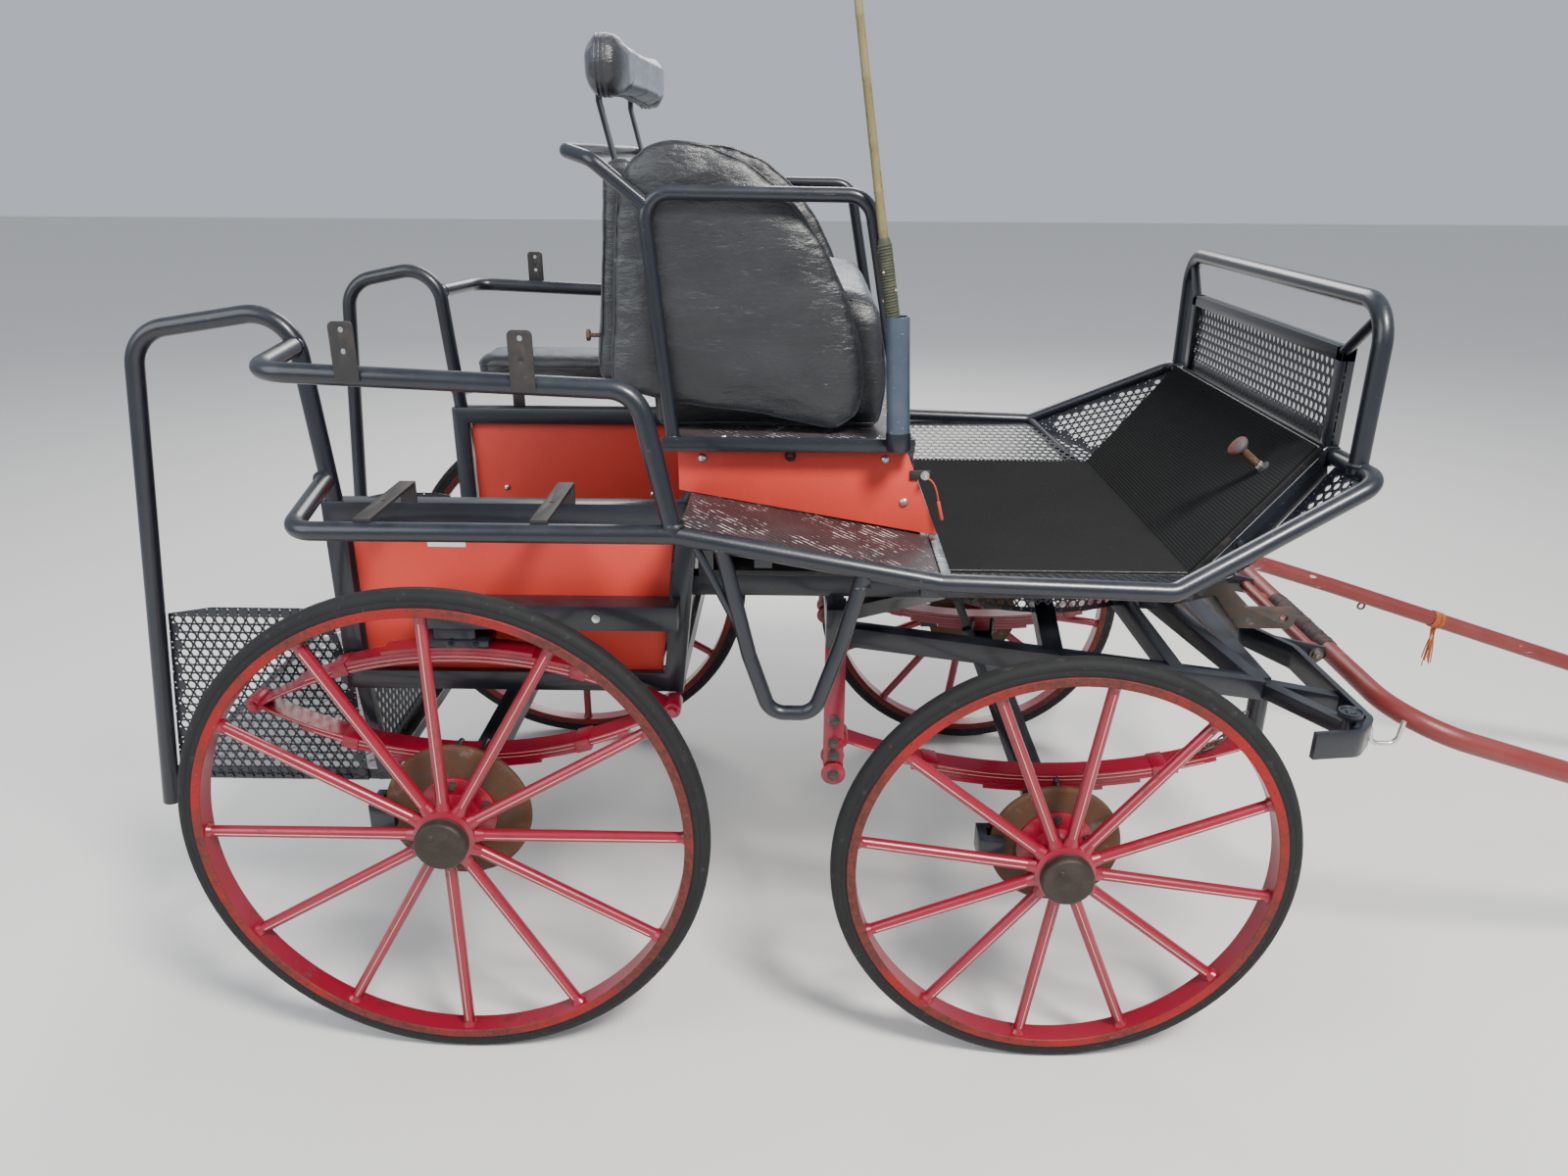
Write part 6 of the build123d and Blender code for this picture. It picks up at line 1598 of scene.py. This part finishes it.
class CARRIAGE_OT_whip(bpy.types.Operator):
    """Stand the cane whip with its wound grip in the socket"""
    bl_idname = "carriage.whip"
    bl_label = "Whip"

    def execute(self, context):
        settings = context.scene.carriage_sizes
        low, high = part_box("whip")
        foot = Vector((high.x - 0.009, (low.y + high.y) / 2, low.z))
        tip = Vector((low.x + 0.004, (low.y + high.y) / 2, high.z))
        axis = (tip - foot).normalized()
        length = (tip - foot).length
        dice = random.Random(4)
        stick = Piece("cane_whip")
        with stick.shell("cane") as part:
            profile = [(0.0, 0.0)]
            knots = [0.0]
            while knots[-1] < length - 0.05:
                knots.append(knots[-1] + dice.uniform(0.06, 0.10))
            for share in knots[:-1]:
                radius = (settings.whip / 2) * (1 - 0.58 * share / length)
                profile += [(radius, share), (radius * 1.10, share + 0.003), (radius * 1.02, share + 0.007)]
            profile += [(0.0033, length), (0.0, length)]
            lathe(part, profile, foot, axis, 20)
            self.bend(part, foot, axis, length)
        grip_low = (1440 * MM - foot.z) / axis.z
        grip = grip_low + 0.125
        with stick.shell("wound_grip") as part:
            turns = 26
            radius = 0.0112
            points = []
            across = axis.orthogonal().normalized()
            around = axis.cross(across)
            for step in range(turns * 8 + 1):
                angle = step * math.tau / 8
                along = grip_low - 0.004 + (grip - grip_low) * step / (turns * 8)
                way = across * math.cos(angle) + around * math.sin(angle)
                points.append(foot + axis * along + way * radius)
            drawn_tube(part, points, 0.0027, 8)
            core = ((0.0, grip_low - 0.02), (0.0105, grip_low - 0.02), (0.011, grip), (0.009, grip + 0.006),
                    (0.0, grip + 0.006))
            lathe(part, core, foot, axis, 20)
            self.bend(part, foot, axis, length)
        with stick.shell("pale_paint") as part:
            for step in range(7):
                angle = step * 2.4
                at = foot + axis * (grip_low + 0.012 + step * 0.016)
                way = across * math.cos(angle) + around * math.sin(angle)
                dome_head(part, at + way * 0.0128, way, 0.0024)
            self.bend(part, foot, axis, length)
        stick.place("body", "whip_stick", "whip")

        tube = Piece("whip_socket_tube")
        tube.node("whip_socket", "socket_paint", 0.0)
        low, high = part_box("whip_socket")
        lean = Vector((-math.sin(math.radians(2.6)), 0, math.cos(math.radians(2.6))))
        base = Vector((high.x - 0.021, (low.y + high.y) / 2, low.z))
        with tube.shell("frame_paint") as part:
            lathe(part, ((0.0202, 0.001), (0.0217, 0.002), (0.0224, 0.006), (0.0224, 0.030), (0.0217, 0.034),
                         (0.0202, 0.035)), base, lean, 32)
        tube.place("body", "grey_socket", "whip_socket")
        return {"FINISHED"}

    @staticmethod
    def bend(part, foot, axis, length, sag=0.006):
        """Let the cane bow a little between its foot and its tip."""
        for vert in part.verts:
            share = min(max(axis.dot(vert.co - foot) / length, 0.0), 1.0)
            vert.co.x -= 4 * sag * share * (1 - share)


class CARRIAGE_OT_shaft_fittings(bpy.types.Operator):
    """Wind the tape on the cross tube and hang the strap and eyes on the shafts"""
    bl_idname = "carriage.shaft_fittings"
    bl_label = "Shaft fittings"

    def execute(self, context):
        droop = math.asin((HINGE_Z - 21.2) / 2300)
        slope = Vector((math.cos(droop), 0, -math.sin(droop)))
        cross = spot(HINGE_X, 0, HINGE_Z) + slope * 0.058
        across = LEFT
        wrap = Piece("cross_tube_tape")
        with wrap.shell("black_tape_and_hole_shade") as part:
            profile = [(0.0214, -0.155)]
            dice = random.Random(8)
            for step in range(13):
                along = -0.150 + step * 0.022
                profile += [(0.0232 + dice.uniform(0, 0.0012), along), (0.0222, along + 0.020)]
            profile += [(0.0214, 0.140)]
            lathe(part, profile, cross, across, 32)
        wrap.place("shafts", "shaft_red")

        strap = Piece("shaft_strap")
        run = 0.690
        y = self.apart(run)
        at = spot(HINGE_X, 0, HINGE_Z) + slope * run + across * y
        with strap.shell("orange_cord") as part:
            band = ((0.0214, -0.008), (0.0236, -0.008), (0.0240, 0.0), (0.0236, 0.008), (0.0214, 0.008))
            lathe(part, band, at, slope, 32)
            lathe(part, ((0.0214, 0.011), (0.0234, 0.011), (0.0236, 0.022), (0.0214, 0.022)), at, slope, 32)
            dice = random.Random(5)
            for _ in range(9):
                start = at + Vector((dice.uniform(-0.006, 0.012), dice.uniform(-0.005, 0.005), -0.022))
                sway = Vector((dice.uniform(-0.020, 0.012), dice.uniform(-0.012, 0.012), 0))
                points = [start, start + sway * 0.2 - UP * 0.03, start + sway * 0.7 - UP * 0.06,
                          start + sway - UP * dice.uniform(0.09, 0.12)]
                drawn_tube(part, points, 0.0016, 6)
        strap.place("shafts", "shaft_red")

        eyes = Piece("shaft_eyes")
        with eyes.shell("rusty_iron") as part:
            run = 0.480
            for side in BOTH:
                y = side * self.apart(run)
                at = spot(HINGE_X, 0, HINGE_Z) + slope * run + across * y - UP * 0.0225
                ring = [at + Vector((0.010 * math.cos(turn), 0, -0.008 + 0.010 * math.sin(turn)))
                        for turn in (math.tau * step / 8 for step in range(8))]
                drawn_tube(part, ring, 0.0028, 8, cyclic=True)
        eyes.place("shafts", "shaft_red")
        return {"FINISHED"}

    @staticmethod
    def apart(run):
        """Half the distance between the shafts, which close in towards their tips."""
        return 0.500 - (run - 0.400) * 0.140 / 1.900


class CARRIAGE_OT_welds(bpy.types.Operator):
    """Lay weld beads where the tubes meet"""
    bl_idname = "carriage.welds"
    bl_label = "Welds"

    def execute(self, context):
        settings = context.scene.carriage_sizes
        piece = Piece("weld_beads")
        with piece.shell("frame_paint") as part:
            for side in BOTH:
                out = LEFT * side
                for seed, (x, y, z, way, radius) in enumerate((
                        (-254, 437, 1374, out, 16.85), (-236, 437, 1125, out, 16.85),
                        (450, 664, 1120, UP, 16.85), (1650, 507, 1192, UP, 16.85),
                        (427, 440, 1216, UP, 12.5), (851, 440, 1216, UP, 12.5),
                        (527, 665, 1078, UP, 13.5), (768, 665, 1012, UP, 13.5))):
                    weld_ring(part, spot(x, side * y, z), way, radius * MM, settings.weld, seed + 20 * side)
        piece.place("body", "black_paint")
        return {"FINISHED"}


class CARRIAGE_PT_panel(bpy.types.Panel):
    """Steps that build the carriage, with its sizes and colours"""
    bl_idname = "CARRIAGE_PT_panel"
    bl_label = "Horse Drawn Carriage"
    bl_space_type = "VIEW_3D"
    bl_region_type = "UI"
    bl_category = "Carriage"

    def draw(self, context):
        for step in STEPS:
            self.layout.operator(step.bl_idname)
        for group in (context.scene.carriage_sizes, context.scene.carriage_colours):
            box = self.layout.box()
            for name in group.__annotations__:
                box.prop(group, name)


STEPS = (CARRIAGE_OT_finishes, CARRIAGE_OT_stage, CARRIAGE_OT_frame_skins, CARRIAGE_OT_wheels,
         CARRIAGE_OT_springs, CARRIAGE_OT_sheets, CARRIAGE_OT_tread, CARRIAGE_OT_fore_irons,
         CARRIAGE_OT_panels, CARRIAGE_OT_seat_board, CARRIAGE_OT_mat, CARRIAGE_OT_brake_lever,
         CARRIAGE_OT_upholstery, CARRIAGE_OT_whip, CARRIAGE_OT_shaft_fittings, CARRIAGE_OT_welds)
CLASSES = (CarriageSizes, CarriageColours, *STEPS, CARRIAGE_PT_panel)


def register():
    for item in CLASSES:
        bpy.utils.register_class(item)
    bpy.types.Scene.carriage_sizes = PointerProperty(type=CarriageSizes)
    bpy.types.Scene.carriage_colours = PointerProperty(type=CarriageColours)


def unregister():
    del bpy.types.Scene.carriage_colours
    del bpy.types.Scene.carriage_sizes
    for item in reversed(CLASSES):
        bpy.utils.unregister_class(item)


def main():
    register()
    for step in STEPS:
        group, name = step.bl_idname.split(".")
        getattr(getattr(bpy.ops, group), name)()


if __name__ == "__main__":
    main()
